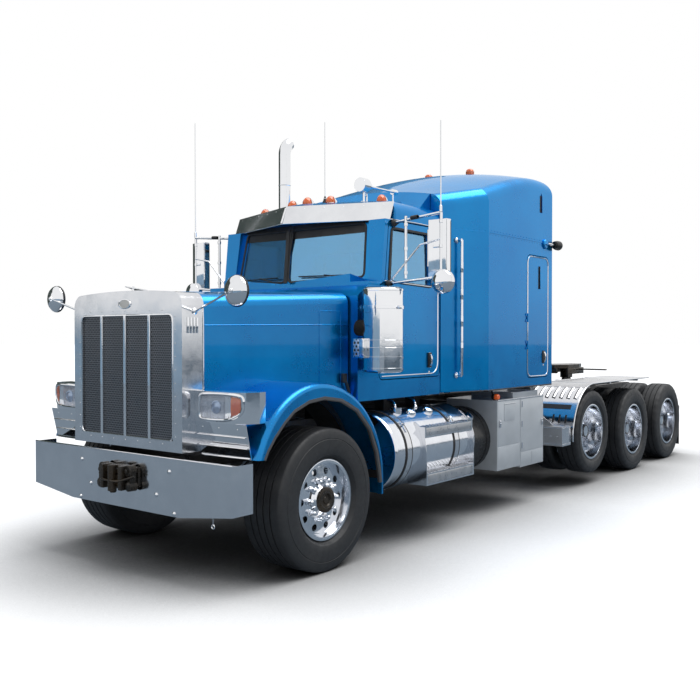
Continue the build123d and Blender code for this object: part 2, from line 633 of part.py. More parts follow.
with BuildPart() as grille_shell:
    extrude(
        to_extrude=grille_outline(
            GRILLE_FACE, GRILLE_HALF, GRILLE_LOW, GRILLE_TOP, GRILLE_CORNER, GRILLE_CROWN,
        ),
        amount=-(HOOD_FRONT - SEAT_GAP - GRILLE_FACE),
    )
    extrude(
        to_extrude=grille_outline(
            GRILLE_FACE + GRILLE_SHEET, GRILLE_HALF - GRILLE_SHEET, GRILLE_LOW + GRILLE_SHEET,
            GRILLE_TOP - GRILLE_SHEET, GRILLE_CORNER, GRILLE_CROWN,
        ),
        amount=-(HOOD_FRONT - GRILLE_FACE), mode=Mode.SUBTRACT,
    )
    extrude(
        to_extrude=grille_outline(
            GRILLE_FACE, OPENING_HALF, OPENING_LOW, OPENING_TOP, OPENING_CORNER, OPENING_CROWN,
        ),
        amount=-GRILLE_SHEET, mode=Mode.SUBTRACT,
    )
    for x in GRILLE_BARS:
        block(
            x - GRILLE_BAR_HALF, x + GRILLE_BAR_HALF, GRILLE_FACE - 5, SCREEN_STATION,
            OPENING_LOW, OPENING_TOP,
        )
    arm = tuple((HOOD_PIVOT[0] + s, HOOD_PIVOT[1] + z) for s, z in HOOD_ARM)
    for _, sign in SIDES:
        inner = RAIL_HALF + SEAT_GAP
        extrude(to_extrude=side_shape(sign * inner, arm), amount=sign * HOOD_ARM_THICK)
        near, far = RAIL_HALF - HORN_THICK - 10, inner + HOOD_ARM_THICK
        rod((sign * near, *HOOD_PIVOT), (sign * far, *HOOD_PIVOT), HOOD_PIN_R)
save(grille_shell, "grille_shell")

with BuildPart() as grille_screen:
    block(
        -OPENING_HALF - 20, OPENING_HALF + 20, SCREEN_STATION, SCREEN_STATION + SCREEN_THICK,
        OPENING_LOW - 20, OPENING_TOP + 20,
    )
save(grille_screen, "grille_screen")

LAMP_LOW = 1140.0
LAMP_TOP = 1352.0
LAMP_FACE = -795.0
LAMP_BEND_X = 1010.0           # where a headlight's face turns back
LAMP_PLAN = (                  # outline of a headlight seen from above: x, station
    (GRILLE_HALF + SEAT_GAP, LAMP_FACE), (LAMP_BEND_X, LAMP_FACE), (1100, LAMP_FACE + 38), (1142, -672),
    (1128, -600), (GRILLE_HALF + SEAT_GAP, -720),
)
LENS_INNER = 690.0
LENS_THICK = 14.0
LENS_MARGIN = 28.0
VALANCE_OUTER = 1125.0
VALANCE_LOW = 900.0
VALANCE_SHEET = 8.0

with BuildPart() as headlights:
    with BuildSketch(plan_plane(LAMP_LOW)):
        with BuildLine():
            Polyline(*LAMP_PLAN, close=True)
        make_face()
    extrude(amount=LAMP_TOP - LAMP_LOW)
    front, crest, end = FENDER_OUTER
    clear = tuple((s - SEAT_GAP, z + SEAT_GAP) for s, z in (front, crest, end))
    extrude(to_extrude=fender_face(0, clear, FENDER_TAIL), amount=FENDER_HALF, mode=Mode.SUBTRACT)
    with BuildSketch(side_plane(GRILLE_HALF + SEAT_GAP)):
        with BuildLine():
            foot = front[0] - SEAT_GAP
            Polyline(
                (foot, VALANCE_LOW), (foot - VALANCE_SHEET, VALANCE_LOW), (LAMP_FACE + 5, LAMP_LOW),
                (LAMP_FACE + 5 + VALANCE_SHEET, LAMP_LOW), close=True,
            )
        make_face()
    extrude(amount=VALANCE_OUTER - GRILLE_HALF)
    mirror(about=Plane.YZ)
save(headlights, "headlights")

with BuildPart() as headlight_lenses:
    with BuildSketch(plan_plane(LAMP_LOW + LENS_MARGIN)):
        with BuildLine():
            face = LAMP_FACE - SEAT_GAP
            Polyline(
                (LENS_INNER, face), (LAMP_BEND_X, face), (1085, face + 31), (1082, face + 17),
                (LAMP_BEND_X, face - LENS_THICK), (LENS_INNER, face - LENS_THICK), close=True,
            )
        make_face()
    extrude(amount=LAMP_TOP - LAMP_LOW - 2 * LENS_MARGIN)
    mirror(about=Plane.YZ)
save(headlight_lenses, "headlight_lenses")

SMALL_MIRROR = (1046.0, -790.0, 2033.0)      # x, station, height of the bowl's middle
SMALL_MIRROR_R = 108.0
SMALL_MIRROR_DEPTH = 60.0
SMALL_ARM_R = 8.0
SMALL_ARM_FOOT = (GRILLE_HALF + 8, -790.0, 1905.0)

with BuildPart() as fender_mirrors:
    x, station, z = SMALL_MIRROR
    rod(SMALL_ARM_FOOT, (x, station, z), SMALL_ARM_R)
    z_foot = SMALL_ARM_FOOT[2]
    rod((GRILLE_HALF + SEAT_GAP, station, z_foot), (GRILLE_HALF + 14, station, z_foot), 22)
    rod((x, station - SMALL_MIRROR_DEPTH, z), (x, station, z), SMALL_MIRROR_R * 0.55)
    rod((x, station, z), (x, station + 20, z), SMALL_MIRROR_R)
    mirror(about=Plane.YZ)
save(fender_mirrors, "fender_mirrors")

# ---- cab shell ---------------------------------------------------------------------------------
GLASS_CENTRE = (0.0, 830.0, 2190.0)          # foot of the windshield's middle post: x, station, height
GLASS_ACROSS = (770.0, 170.0, 30.0)          # direction of a pane's lower edge, outwards
GLASS_UP = (0.0, 100.0, 540.0)               # direction of the middle post
GLASS_HALF = 820.0
GLASS_HEIGHT = 545.0
PANE_INNER = 28.0
PANE_OUTER = 765.0
PANE_LOW = 22.0
PANE_TOP = 492.0
POST_FRONT_LOW = 985.0
POST_FRONT_TOP = 1040.0
COWL_TOP = 2060.0
BROW_CENTRE = 850.0
BROW_SIDE = 1200.0
BROW_LOW = 2722.0              # the brow's V starts here; the windshield posts stand below it
BROW_EDGE = 2885.0             # top of the brow's front face, where the roof starts to rise
BROW_PITCH = 0.25              # rise of the roof's front over its length
SLOPE_LONG = 1450.0
SLOPE_DEEP = 450.0
SHOULDER_R = 130.0
ROOF_CROWN = 30.0
DOOR_FRONT = 955.0
DOOR_REAR = CAB_REAR - 12.0
DOOR_LOW = 1368.0
DOOR_TOP = 2712.0
BELT = 2185.0
DOOR_OUTLINE = (
    (DOOR_FRONT, DOOR_LOW), (DOOR_FRONT, BELT - 40), (POST_FRONT_LOW + 55, BELT + 10),
    (POST_FRONT_TOP + 55, DOOR_TOP), (DOOR_REAR, DOOR_TOP), (DOOR_REAR, DOOR_LOW),
)
WINDOW_OUTLINE = ((1085, BELT + 5), (1130, 2655), (1735, 2650), (1762, BELT - 15))
DOOR_CORNER = 45.0
DOOR_HINGES = (1480.0, 2050.0)
RAMP_FRONT = 1700.0
RAMP_HALF = 835.0
RAMP_CROWN = 30.0
PASSAGE_HALF = 560.0
PASSAGE_LOW = 1400.0
PASSAGE_TOP = 2560.0


def glass_plane(sign, inwards=0):
    """The plane of one windshield pane: local x runs to the truck's left, local y up, normal outwards."""
    across = Vector(GLASS_ACROSS[0], sign * GLASS_ACROSS[1], sign * GLASS_ACROSS[2])
    normal = across.cross(Vector(*GLASS_UP)).normalized()
    foot = Vector(GLASS_CENTRE[0], sta(GLASS_CENTRE[1]), GLASS_CENTRE[2])
    return Plane(origin=foot - normal * inwards, x_dir=across, z_dir=normal)


def cab_section(station, inset, low):
    """A cab cross-section: straight sides, rounded shoulders and a crowned roof."""
    half = CAB_HALF - inset
    top = ROOF_TOP - ROOF_CROWN - inset
    slack = SHOULDER_R * (1 - sqrt(0.5))
    with BuildSketch(front_plane(station)) as section:
        with BuildLine():
            Polyline((-half, top - SHOULDER_R), (-half, low), (half, low), (half, top - SHOULDER_R))
            ThreePointArc((half, top - SHOULDER_R), (half - slack, top - slack), (half - SHOULDER_R, top))
            ThreePointArc((half - SHOULDER_R, top), (0, top + ROOF_CROWN), (SHOULDER_R - half, top))
            ThreePointArc((SHOULDER_R - half, top), (slack - half, top - slack), (-half, top - SHOULDER_R))
        make_face()
    return section.sketch


def brow_slope(sign):
    """The plane of the roof's sloping front on one side, its normal upwards."""
    across = Vector(sign * (CAB_HALF + 10), BROW_SIDE - BROW_CENTRE, 0).normalized()
    back = Vector(0, 0, 1).cross(across) * sign
    rise = (back + Vector(0, 0, BROW_PITCH)).normalized()
    return Plane(
        origin=Vector(0, sta(BROW_CENTRE), BROW_EDGE), x_dir=across, z_dir=across.cross(rise) * sign,
    )


with BuildPart() as cab_room:
    extrude(to_extrude=cab_section(870, WALL, CAB_FLOOR + WALL), amount=-(CAB_REAR - WALL - 870))
    for _, sign in SIDES:
        with BuildSketch(glass_plane(sign, WALL)):
            with Locations((0, 0)):
                Rectangle(4000, 4000)
        extrude(amount=800, mode=Mode.SUBTRACT)
    block(-CAB_HALF + WALL, CAB_HALF - WALL, COWL_FRONT + WALL, 1200, CAB_FLOOR + WALL, COWL_TOP - WALL)

with BuildPart() as cab_shell:
    extrude(to_extrude=cab_section(800, 0, CAB_FLOOR), amount=-(CAB_REAR - 800))
    for _, sign in SIDES:
        with BuildSketch(glass_plane(sign)):
            with Locations((sign * (GLASS_HALF - 1000) / 2, GLASS_HEIGHT / 2)):
                Rectangle(GLASS_HALF + 1000, GLASS_HEIGHT)
        extrude(amount=500, mode=Mode.SUBTRACT)
        post = ((500, BELT), (POST_FRONT_LOW, BELT), (POST_FRONT_TOP, DOOR_TOP + 20), (500, DOOR_TOP + 20))
        extrude(
            to_extrude=side_shape(sign * (GLASS_HALF - 65), post), amount=sign * 300, mode=Mode.SUBTRACT,
        )
    with BuildSketch(plan_plane(BROW_LOW)):
        with BuildLine():
            Polyline(
                (0, BROW_CENTRE), (CAB_HALF + 10, BROW_SIDE), (CAB_HALF + 10, 100), (-CAB_HALF - 10, 100),
                (-CAB_HALF - 10, BROW_SIDE), close=True,
            )
        make_face()
    extrude(amount=2500, mode=Mode.SUBTRACT)
    for _, sign in SIDES:
        with BuildSketch(brow_slope(sign)):
            with Locations((SLOPE_LONG / 2 - 150, sign * (SLOPE_DEEP / 2 - 60))):
                Rectangle(SLOPE_LONG, SLOPE_DEEP)
        extrude(amount=120, mode=Mode.SUBTRACT)
    cowl = (
        (COWL_FRONT, CAB_FLOOR), (COWL_FRONT, COWL_TOP), (GLASS_CENTRE[1], GLASS_CENTRE[2] - 15),
        (1100, GLASS_CENTRE[2]), (1250, GLASS_CENTRE[2]), (1250, CAB_FLOOR),
    )
    extrude(to_extrude=side_shape(-CAB_HALF, cowl), amount=2 * CAB_HALF)
    _, middle, side_height = SLEEPER_ROOF[0]
    crest, foot = ROOF_TOP - ROOF_CROWN, ROOF_TOP - 2 * ROOF_CROWN
    edge = middle - (middle - side_height) * (RAMP_HALF / SLEEPER_HALF) ** 2
    loft([
        crowned_slice(RAMP_FRONT, RAMP_HALF, crest, crest - RAMP_CROWN, foot - RAMP_CROWN),
        crowned_slice(CAB_REAR, RAMP_HALF, middle, edge, foot - RAMP_CROWN),
    ], ruled=True)
    add(cab_room.part, mode=Mode.SUBTRACT)
    for _, sign in SIDES:
        with BuildSketch(glass_plane(sign)):
            with Locations((sign * (PANE_INNER + PANE_OUTER) / 2, (PANE_LOW + PANE_TOP) / 2)):
                Rectangle(PANE_OUTER - PANE_INNER, PANE_TOP - PANE_LOW)
        extrude(amount=-2 * WALL, mode=Mode.SUBTRACT)
        extrude(
            to_extrude=side_shape(sign * (CAB_HALF - 2 * WALL), DOOR_OUTLINE, DOOR_CORNER, GAP),
            amount=sign * 3 * WALL, mode=Mode.SUBTRACT,
        )
    block(
        -PASSAGE_HALF, PASSAGE_HALF, CAB_REAR - 2 * WALL, CAB_REAR + 10, PASSAGE_LOW, PASSAGE_TOP,
        mode=Mode.SUBTRACT,
    )
    for _, sign in SIDES:
        for z in DOOR_HINGES:
            fixed_hinge(sign, CAB_HALF, DOOR_FRONT - GAP / 2, z)
save(cab_shell, "cab_shell")

with BuildPart() as windshield:
    for _, sign in SIDES:
        with BuildSketch(glass_plane(sign, WALL / 2)):
            with Locations((sign * (PANE_INNER + PANE_OUTER) / 2, (PANE_LOW + PANE_TOP) / 2)):
                Rectangle(PANE_OUTER - PANE_INNER, PANE_TOP - PANE_LOW)
        extrude(amount=PANE)
save(windshield, "windshield")

# ---- cab doors with their glass and mirrors ----------------------------------------------------
WINDOW_CORNER = 40.0
HANDLE_STATION = 1717.0
HANDLE_Z = 1515.0
HANDLE_HALF = (22.0, 60.0)     # half width, half height
HANDLE_PROUD = 14.0
MIRROR_STATION = 1080.0
MIRROR_ARM_Z = 2730.0
MIRROR_LOW_Z = 2212.0
MIRROR_INNER_X = 1122.0
MIRROR_OUTER_X = 1468.0
MIRROR_HEAD = (1343.0, 1518.0, 2200.0, 2680.0)     # x from and to, height from and to
MIRROR_HEAD_DEPTH = 60.0
MIRROR_ROUND_R = 97.0
MIRROR_ROUND_X = 1490.0
TUBE_R = 12.0
ANTENNA_TOP = 3895.0
ANTENNA_R = 5.0
MIRROR_ANTENNA_TOP = {"left": 3470.0, "right": ANTENNA_TOP}

for side, sign in SIDES:
    inner = sign * (CAB_HALF - DOOR_THICK)
    with BuildPart() as door:
        extrude(to_extrude=side_shape(inner, DOOR_OUTLINE, DOOR_CORNER), amount=sign * DOOR_THICK)
        extrude(
            to_extrude=side_shape(inner, WINDOW_OUTLINE, WINDOW_CORNER),
            amount=sign * DOOR_THICK, mode=Mode.SUBTRACT,
        )
        block(
            sign * CAB_HALF, sign * (CAB_HALF + HANDLE_PROUD), HANDLE_STATION - HANDLE_HALF[0],
            HANDLE_STATION + HANDLE_HALF[0], HANDLE_Z - HANDLE_HALF[1], HANDLE_Z + HANDLE_HALF[1],
        )
        for z in DOOR_HINGES:
            moving_hinge(sign, CAB_HALF, DOOR_FRONT - GAP / 2, z)
    save(door, f"door_{side}")

    with BuildPart() as door_glass:
        extrude(
            to_extrude=side_shape(sign * (CAB_HALF - DOOR_THICK / 2), WINDOW_OUTLINE, WINDOW_CORNER),
            amount=-sign * PANE,
        )
    save(door_glass, f"door_glass_{side}")

    with BuildPart() as mirrors:
        foot = CAB_HALF + 8
        station = MIRROR_STATION
        top_foot = (sign * foot, POST_FRONT_TOP + 110, DOOR_TOP - 18)
        low_foot = (sign * foot, POST_FRONT_LOW + 85, BELT - 12)
        rod(top_foot, (sign * MIRROR_OUTER_X, station, MIRROR_ARM_Z), TUBE_R)
        rod(low_foot, (sign * MIRROR_OUTER_X, station, MIRROR_LOW_Z), TUBE_R)
        for x, s, z in (top_foot, low_foot):
            rod((sign * (CAB_HALF + SEAT_GAP), s, z), (sign * (CAB_HALF + 10), s, z), TUBE_R + 8)
        for x in (MIRROR_INNER_X, MIRROR_OUTER_X):
            rod((sign * x, station + 6, MIRROR_LOW_Z), (sign * x, station + 6, MIRROR_ARM_Z), TUBE_R)
        rod(low_foot, (sign * 1268, station, 2480), TUBE_R * 0.7)
        rod((sign * 1268, station, 2480), (sign * MIRROR_OUTER_X, station, 2520), TUBE_R * 0.7)
        x0, x1, z0, z1 = MIRROR_HEAD
        block(sign * x0, sign * x1, station + 14, station + 14 + MIRROR_HEAD_DEPTH, z0, z1)
        z = MIRROR_LOW_Z - 40
        x = sign * MIRROR_ROUND_X
        rod((x, station - 22, z), (x, station + 22, z), MIRROR_ROUND_R)
        x = sign * MIRROR_OUTER_X
        rod((x, station, MIRROR_ARM_Z), (x, station, MIRROR_ANTENNA_TOP[side]), ANTENNA_R)
    save(mirrors, f"mirrors_{side}")

# ---- visor, roof lamps, horn -------------------------------------------------------------------
VISOR_LOW = 2722.0
VISOR_TOP = 2884.0
VISOR_HALF = 930.0
VISOR_SHEET = 10.0
VISOR_REACH = 62.0             # how far the lower edge stands ahead of the brow
BROW_RISE = (BROW_SIDE - BROW_CENTRE) / (CAB_HALF + 10)
ROOF_ARC_R = ((CAB_HALF - SHOULDER_R) ** 2 + ROOF_CROWN ** 2) / (2 * ROOF_CROWN)
ROOF_LAMPS = ((0, 1137), (231, 1189), (-231, 1189), (707, 1319), (-707, 1319))     # x, station
LAMP_HALF = (42.0, 60.0)       # across, along
LAMP_TALL = 72.0
LAMP_SUNK = 20.0               # the foot that follows the roof's crown


def roof_height(x):
    """Height of the crowned cab roof at an x."""
    return ROOF_TOP - ROOF_ARC_R + sqrt(ROOF_ARC_R ** 2 - x ** 2)


def visor_strip(z, ahead):
    """A level slice of the visor: a V-shaped strip that stands ahead of the brow."""
    rise = BROW_RISE * VISOR_HALF
    back = BROW_CENTRE - SEAT_GAP - ahead
    with BuildSketch(plan_plane(z)) as strip:
        with BuildLine():
            Polyline(
                (-VISOR_HALF, back + rise), (0, back), (VISOR_HALF, back + rise),
                (VISOR_HALF, back + rise - VISOR_SHEET), (0, back - VISOR_SHEET),
                (-VISOR_HALF, back + rise - VISOR_SHEET), close=True,
            )
        make_face()
    return strip.sketch


with BuildPart() as sun_visor:
    loft([visor_strip(VISOR_LOW, VISOR_REACH), visor_strip(VISOR_TOP, 0)], ruled=True)
save(sun_visor, "sun_visor")

# ---- inside the cab ----------------------------------------------------------------------------
SEAT_X = 460.0
SEAT_HALF = 260.0
SEAT_FRONT = 1310.0
SEAT_BACK = 1800.0
SEAT_Z = 1700.0
SEAT_TOP = 2380.0
BUNK_FRONT = 2950.0
BUNK_TOP = 1800.0
BUNK_HALF = 1080.0
DASH_REAR = 1240.0
DASH_FRONT = 1060.0
DASH_TOP = 2100.0
DASH_LOW = 1760.0
DASH_HALF = 870.0
CONSOLE_HALF = 150.0
WHEEL_CENTRE = (SEAT_X, 1385.0, 2040.0)
WHEEL_TILT = 30.0
STEERING_R = 225.0
STEERING_GRIP = 16.0

with BuildPart() as seats:
    cushion_low = SEAT_Z - 140
    for _, sign in SIDES:
        x0, x1 = sign * (SEAT_X - SEAT_HALF), sign * (SEAT_X + SEAT_HALF)
        block(
            sign * (SEAT_X - 160), sign * (SEAT_X + 160), SEAT_FRONT + 90, SEAT_BACK - 60,
            CAB_FLOOR + WALL, cushion_low - SEAT_GAP,
        )
        block(x0, x1, SEAT_FRONT, SEAT_BACK, cushion_low, SEAT_Z)
        block(x0, x1, SEAT_BACK - 130, SEAT_BACK, SEAT_Z + SEAT_GAP, SEAT_TOP)
    block(-BUNK_HALF, BUNK_HALF, BUNK_FRONT, SLEEPER_REAR - WALL, SLEEPER_LOW + WALL, BUNK_TOP)
save(seats, "seats")

wheel_axis = Vector(0, sin(radians(WHEEL_TILT)), cos(radians(WHEEL_TILT)))
wheel_middle = Vector(WHEEL_CENTRE[0], sta(WHEEL_CENTRE[1]), WHEEL_CENTRE[2])

with BuildPart() as dashboard:
    block(-DASH_HALF, DASH_HALF, DASH_FRONT, DASH_REAR, DASH_LOW, DASH_TOP)
    block(-CONSOLE_HALF, CONSOLE_HALF, DASH_FRONT, DASH_REAR, CAB_FLOOR + WALL, DASH_LOW - SEAT_GAP)
    column_top = wheel_middle - wheel_axis * (30 + SEAT_GAP)
    column_low = wheel_middle - wheel_axis * 330
    rod(
        (column_low.X, column_low.Y - FRONT_AXLE_Y, column_low.Z),
        (column_top.X, column_top.Y - FRONT_AXLE_Y, column_top.Z), 28,
    )
save(dashboard, "dashboard")

with BuildPart() as steering_wheel:
    with Locations(Plane(origin=wheel_middle, z_dir=wheel_axis)):
        Torus(STEERING_R, STEERING_GRIP)
        Cylinder(45, 60)
        for turn in (0, 120, 240):
            with Locations(Rotation(0, 0, 90 + turn)):
                with Locations((STEERING_R / 2, 0, 0)):
                    Box(STEERING_R, 30, 12)
save(steering_wheel, "steering_wheel")

# ---- sleeper -----------------------------------------------------------------------------------
SLEEPER_FRONT_HALF = 950.0
SLEEPER_WIDE = SLEEPER_HALF + 80.0     # half width of the roof's cross-sections, before the sides cut them
ACCESS_OUTLINE = ((3215, 1305), (3215, 2565), (3707, 2565), (3707, 1305))
ACCESS_CORNER = 60.0
ACCESS_HINGES = (1640.0, 1920.0)


def sleeper_body(inset, low, front):
    """The sleeper drawn in by inset: a lofted roof cut to its plan, with its top edges rounded."""
    half = SLEEPER_HALF - inset
    nose = SLEEPER_FRONT_HALF - inset
    turn = SLEEPER_SHOULDER + inset * 0.7
    rear = SLEEPER_REAR - inset
    slices = []
    for station, middle, side in SLEEPER_ROOF:
        edge = middle - (middle - side) * (SLEEPER_WIDE / SLEEPER_HALF) ** 2
        slices.append(crowned_slice(station, SLEEPER_WIDE, middle - inset, edge - inset, low))
    with BuildPart() as body:
        loft(slices)
        with BuildSketch(plan_plane(low)):
            with BuildLine():
                Polyline(
                    (nose, front), (half, turn), (half, rear), (-half, rear), (-half, turn), (-nose, front),
                    close=True,
                )
            make_face()
        extrude(amount=3000, mode=Mode.INTERSECT)
        top = body.faces().sort_by(Axis.Z)[-1]
        rim = top.edges().filter_by(lambda edge: edge.center().Y > sta(front + 5))
        fillet(rim, radius=SLEEPER_ROUND - inset)
    return body.part


with BuildPart() as sleeper_shell:
    add(sleeper_body(0, SLEEPER_LOW, SLEEPER_FRONT))
    add(sleeper_body(WALL, SLEEPER_LOW + WALL, SLEEPER_FRONT + WALL), mode=Mode.SUBTRACT)
    for _, sign in SIDES:
        extrude(
            to_extrude=side_shape(sign * (SLEEPER_HALF - 2 * WALL), ACCESS_OUTLINE, ACCESS_CORNER, GAP),
            amount=sign * 3 * WALL, mode=Mode.SUBTRACT,
        )
    block(
        -PASSAGE_HALF, PASSAGE_HALF, SLEEPER_FRONT - 10, SLEEPER_FRONT + 2 * WALL, PASSAGE_LOW, PASSAGE_TOP,
        mode=Mode.SUBTRACT,
    )
    for _, sign in SIDES:
        for z in ACCESS_HINGES:
            fixed_hinge(sign, SLEEPER_HALF, ACCESS_OUTLINE[0][0] - GAP / 2, z)
save(sleeper_shell, "sleeper_shell")

for side, sign in SIDES:
    with BuildPart() as access_door:
        extrude(
            to_extrude=side_shape(sign * (SLEEPER_HALF - WALL), ACCESS_OUTLINE, ACCESS_CORNER),
            amount=sign * WALL,
        )
        for z in ACCESS_HINGES:
            moving_hinge(sign, SLEEPER_HALF, ACCESS_OUTLINE[0][0] - GAP / 2, z)
    save(access_door, f"sleeper_door_{side}")

# ---- air cleaners ------------------------------------------------------------------------------
CLEANER_X = 1130.0
CLEANER_STATION = 752.0
CLEANER_R = 165.0
CLEANER_LOW = 1440.0
CLEANER_TOP = 2120.0
CLEANER_BAND_Z = 1960.0
CLEANER_DUCT_Z = 1750.0

with BuildPart() as air_cleaners:
    rod((CLEANER_X, CLEANER_STATION, CLEANER_LOW), (CLEANER_X, CLEANER_STATION, CLEANER_TOP), CLEANER_R)
    ends = air_cleaners.edges().filter_by(GeomType.CIRCLE)
    fillet(ends, radius=24)
    rod(
        (CLEANER_X, CLEANER_STATION, CLEANER_BAND_Z - 14), (CLEANER_X, CLEANER_STATION, CLEANER_BAND_Z + 14),
        CLEANER_R + 5,
    )
    for z in (CLEANER_LOW + 120, CLEANER_BAND_Z):
        block(CAB_HALF + SEAT_GAP, CLEANER_X, CLEANER_STATION - 30, CLEANER_STATION + 30, z - 20, z + 20)
    rod((CAB_HALF + SEAT_GAP, 725, CLEANER_DUCT_Z), (CLEANER_X, 725, CLEANER_DUCT_Z), 55)
    mirror(about=Plane.YZ)
save(air_cleaners, "air_cleaners")

# ---- tanks, steps and tool boxes ---------------------------------------------------------------
TANK_X = 870.0
TANK_Z = 765.0
TANK_R = 328.0
TANK_FRONT = 832.0
TANK_REAR = 2100.0
STRAPS = (1030.0, 1780.0)
STRAP_HALF = 32.0
STRAP_THICK = 8.0
STEP_FRONT = 1240.0
STEP_REAR = 2030.0
STEP_SHEET = 6.0
STEP_TREADS = (                # x from and to, height from and to
    (1050.0, 1232.0, 466.0, 570.0), (1090.0, 1215.0, 875.0, 962.0),
)
STEP_END = (                   # outline of an end plate: x, height
    (1040, 466), (1232, 466), (1232, 640), (1228, 760), (1212, 880), (1180, 950), (1120, 1000), (1040, 1000),
)
AIR_TANK_X = 785.0
AIR_TANK_Z = 720.0
AIR_TANK_R = 314.0
AIR_TANK_FRONT = 2180.0
BOX_FRONT = 2580.0
BOX_SPLIT = 3060.0
BOX_REAR = 3590.0
BOX_INNER = 600.0
BOX_OUTER = 1172.0
BOX_TOP = 1105.0
BOX_LOW = 400.0
BOX_LID = (640.0, 1120.0, 3000.0, 3560.0, 55.0)     # x from and to, station from and to, height

with BuildPart() as fuel_tanks:
    rod((TANK_X, TANK_FRONT, TANK_Z), (TANK_X, TANK_REAR, TANK_Z), TANK_R)
    ends = fuel_tanks.edges().filter_by(GeomType.CIRCLE)
    fillet(ends, radius=40)
    rod((TANK_X + 90, 1180, TANK_Z + TANK_R - 40), (TANK_X + 90, 1180, TANK_Z + TANK_R + 25), 45)
    mirror(about=Plane.YZ)
save(fuel_tanks, "fuel_tanks")

with BuildPart() as tank_steps:
    for station in STRAPS:
        rod(
            (TANK_X, station - STRAP_HALF, TANK_Z), (TANK_X, station + STRAP_HALF, TANK_Z),
            TANK_R + SEAT_GAP + STRAP_THICK,
        )
        block(
            RAIL_HALF + SEAT_GAP, TANK_X - 60, station - STRAP_HALF, station + STRAP_HALF,
            TANK_Z - 250, TANK_Z + 100,
        )
    for x0, x1, z0, z1 in STEP_TREADS:
        block(x0, x1, STEP_FRONT, STEP_REAR, z0, z1)
    for station in (STEP_FRONT, STEP_REAR - STEP_SHEET):
        with BuildSketch(front_plane(station)):
            with BuildLine():
                Polyline(*STEP_END, close=True)
            make_face()
        extrude(amount=-STEP_SHEET)
    rod((TANK_X, TANK_FRONT, TANK_Z), (TANK_X, TANK_REAR, TANK_Z), TANK_R + SEAT_GAP, mode=Mode.SUBTRACT)
    mirror(about=Plane.YZ)
save(tank_steps, "tank_steps")

with BuildPart() as air_tanks:
    rod((AIR_TANK_X, AIR_TANK_FRONT, AIR_TANK_Z), (AIR_TANK_X, BOX_FRONT - SEAT_GAP, AIR_TANK_Z), AIR_TANK_R)
    ends = air_tanks.edges().filter_by(GeomType.CIRCLE).group_by(Axis.Y)[0]
    fillet(ends, radius=45)
    block(RAIL_HALF + SEAT_GAP, AIR_TANK_X, 2330, 2430, AIR_TANK_Z + 60, AIR_TANK_Z + 140)
    mirror(about=Plane.YZ)
save(air_tanks, "air_tanks")

with BuildPart() as side_boxes:
    block(BOX_INNER, BOX_OUTER, BOX_FRONT, BOX_SPLIT - 2, BOX_LOW + 20, BOX_TOP)
    block(BOX_INNER, BOX_OUTER, BOX_SPLIT, BOX_REAR, BOX_LOW, BOX_TOP)
    block(BOX_INNER, BOX_OUTER - 20, BOX_SPLIT - 2, BOX_SPLIT, BOX_LOW + 20, BOX_TOP - 20)
    x0, x1, s0, s1, tall = BOX_LID
    block(x0, x1, s0, s1, BOX_TOP, BOX_TOP + tall)
    for station in (BOX_FRONT + 150, BOX_REAR - 200):
        block(RAIL_HALF + SEAT_GAP, BOX_INNER, station, station + 60, RAIL_BOTTOM + 40, RAIL_TOP - 40)
    mirror(about=Plane.YZ)
save(side_boxes, "side_boxes")

# ---- rear deck, steps and fenders --------------------------------------------------------------
DECK_TOP = 1162.0
DECK_SHEET = 8.0
DECK_HALF = 600.0
DECK_FRONT = 3840.0
DECK_REAR = 4960.0
DECK_POSTS = (3980.0, 4840.0)
FENDER_INNER_X = 620.0
FENDER_OUTER_X = 1222.0
REAR_FENDER_TOP = 1176.0
REAR_FENDER_END = 6700.0
REAR_FENDER_FRONT = 4253.0
REAR_FENDER_LOW = 545.0
REAR_FENDER_SHEET = 7.0
FENDER_POSTS = (5528.0, 6480.0)
STEP_BOX_INNER = 760.0
STEP_BOX_OUTER = 1200.0
STEP_BOX_FRONT = 4005.0
STEP_BOX_REAR = 4235.0
STEP_BOX_LOW = 515.0
STEP_BOX_TOP = 727.0
STEP_ARM_TOP = 850.0
GUSSET_REACH = 1080.0
GUSSET_TOP = 930.0
GUSSET_SHEET = 6.0

with BuildPart() as deck:
    block(-DECK_HALF, DECK_HALF, DECK_FRONT, DECK_REAR, DECK_TOP - DECK_SHEET, DECK_TOP)
    for station in DECK_POSTS:
        for _, sign in SIDES:
            block(
                sign * (RAIL_HALF - RAIL_FLANGE), sign * RAIL_HALF, station - 60, station + 60,
                RAIL_TOP, DECK_TOP - DECK_SHEET,
            )
    under = REAR_FENDER_TOP - REAR_FENDER_SHEET
    for station in FENDER_POSTS:
        for _, sign in SIDES:
            inner = sign * (RAIL_HALF + SEAT_GAP)
            block(inner, sign * (FENDER_OUTER_X - 70), station - 25, station + 25, under - 30, under)
            block(inner, sign * (RAIL_HALF + 50), station - 25, station + 25, RAIL_TOP - 150, under)
save(deck, "deck")

with BuildPart() as rear_fenders:
    low = (REAR_FENDER_FRONT, REAR_FENDER_LOW)
    bend = (REAR_FENDER_FRONT + 620, REAR_FENDER_TOP)
    middle = (REAR_FENDER_FRONT + 165, REAR_FENDER_LOW + 455)
    with BuildSketch(side_plane(FENDER_INNER_X)):
        with BuildLine() as top_line:
            ThreePointArc(low, middle, bend)
            Line(bend, (REAR_FENDER_END, REAR_FENDER_TOP))
            offset(amount=REAR_FENDER_SHEET, side=Side.RIGHT)
        make_face()
    extrude(amount=FENDER_OUTER_X - FENDER_INNER_X)
    mirror(about=Plane.YZ)
save(rear_fenders, "rear_fenders")

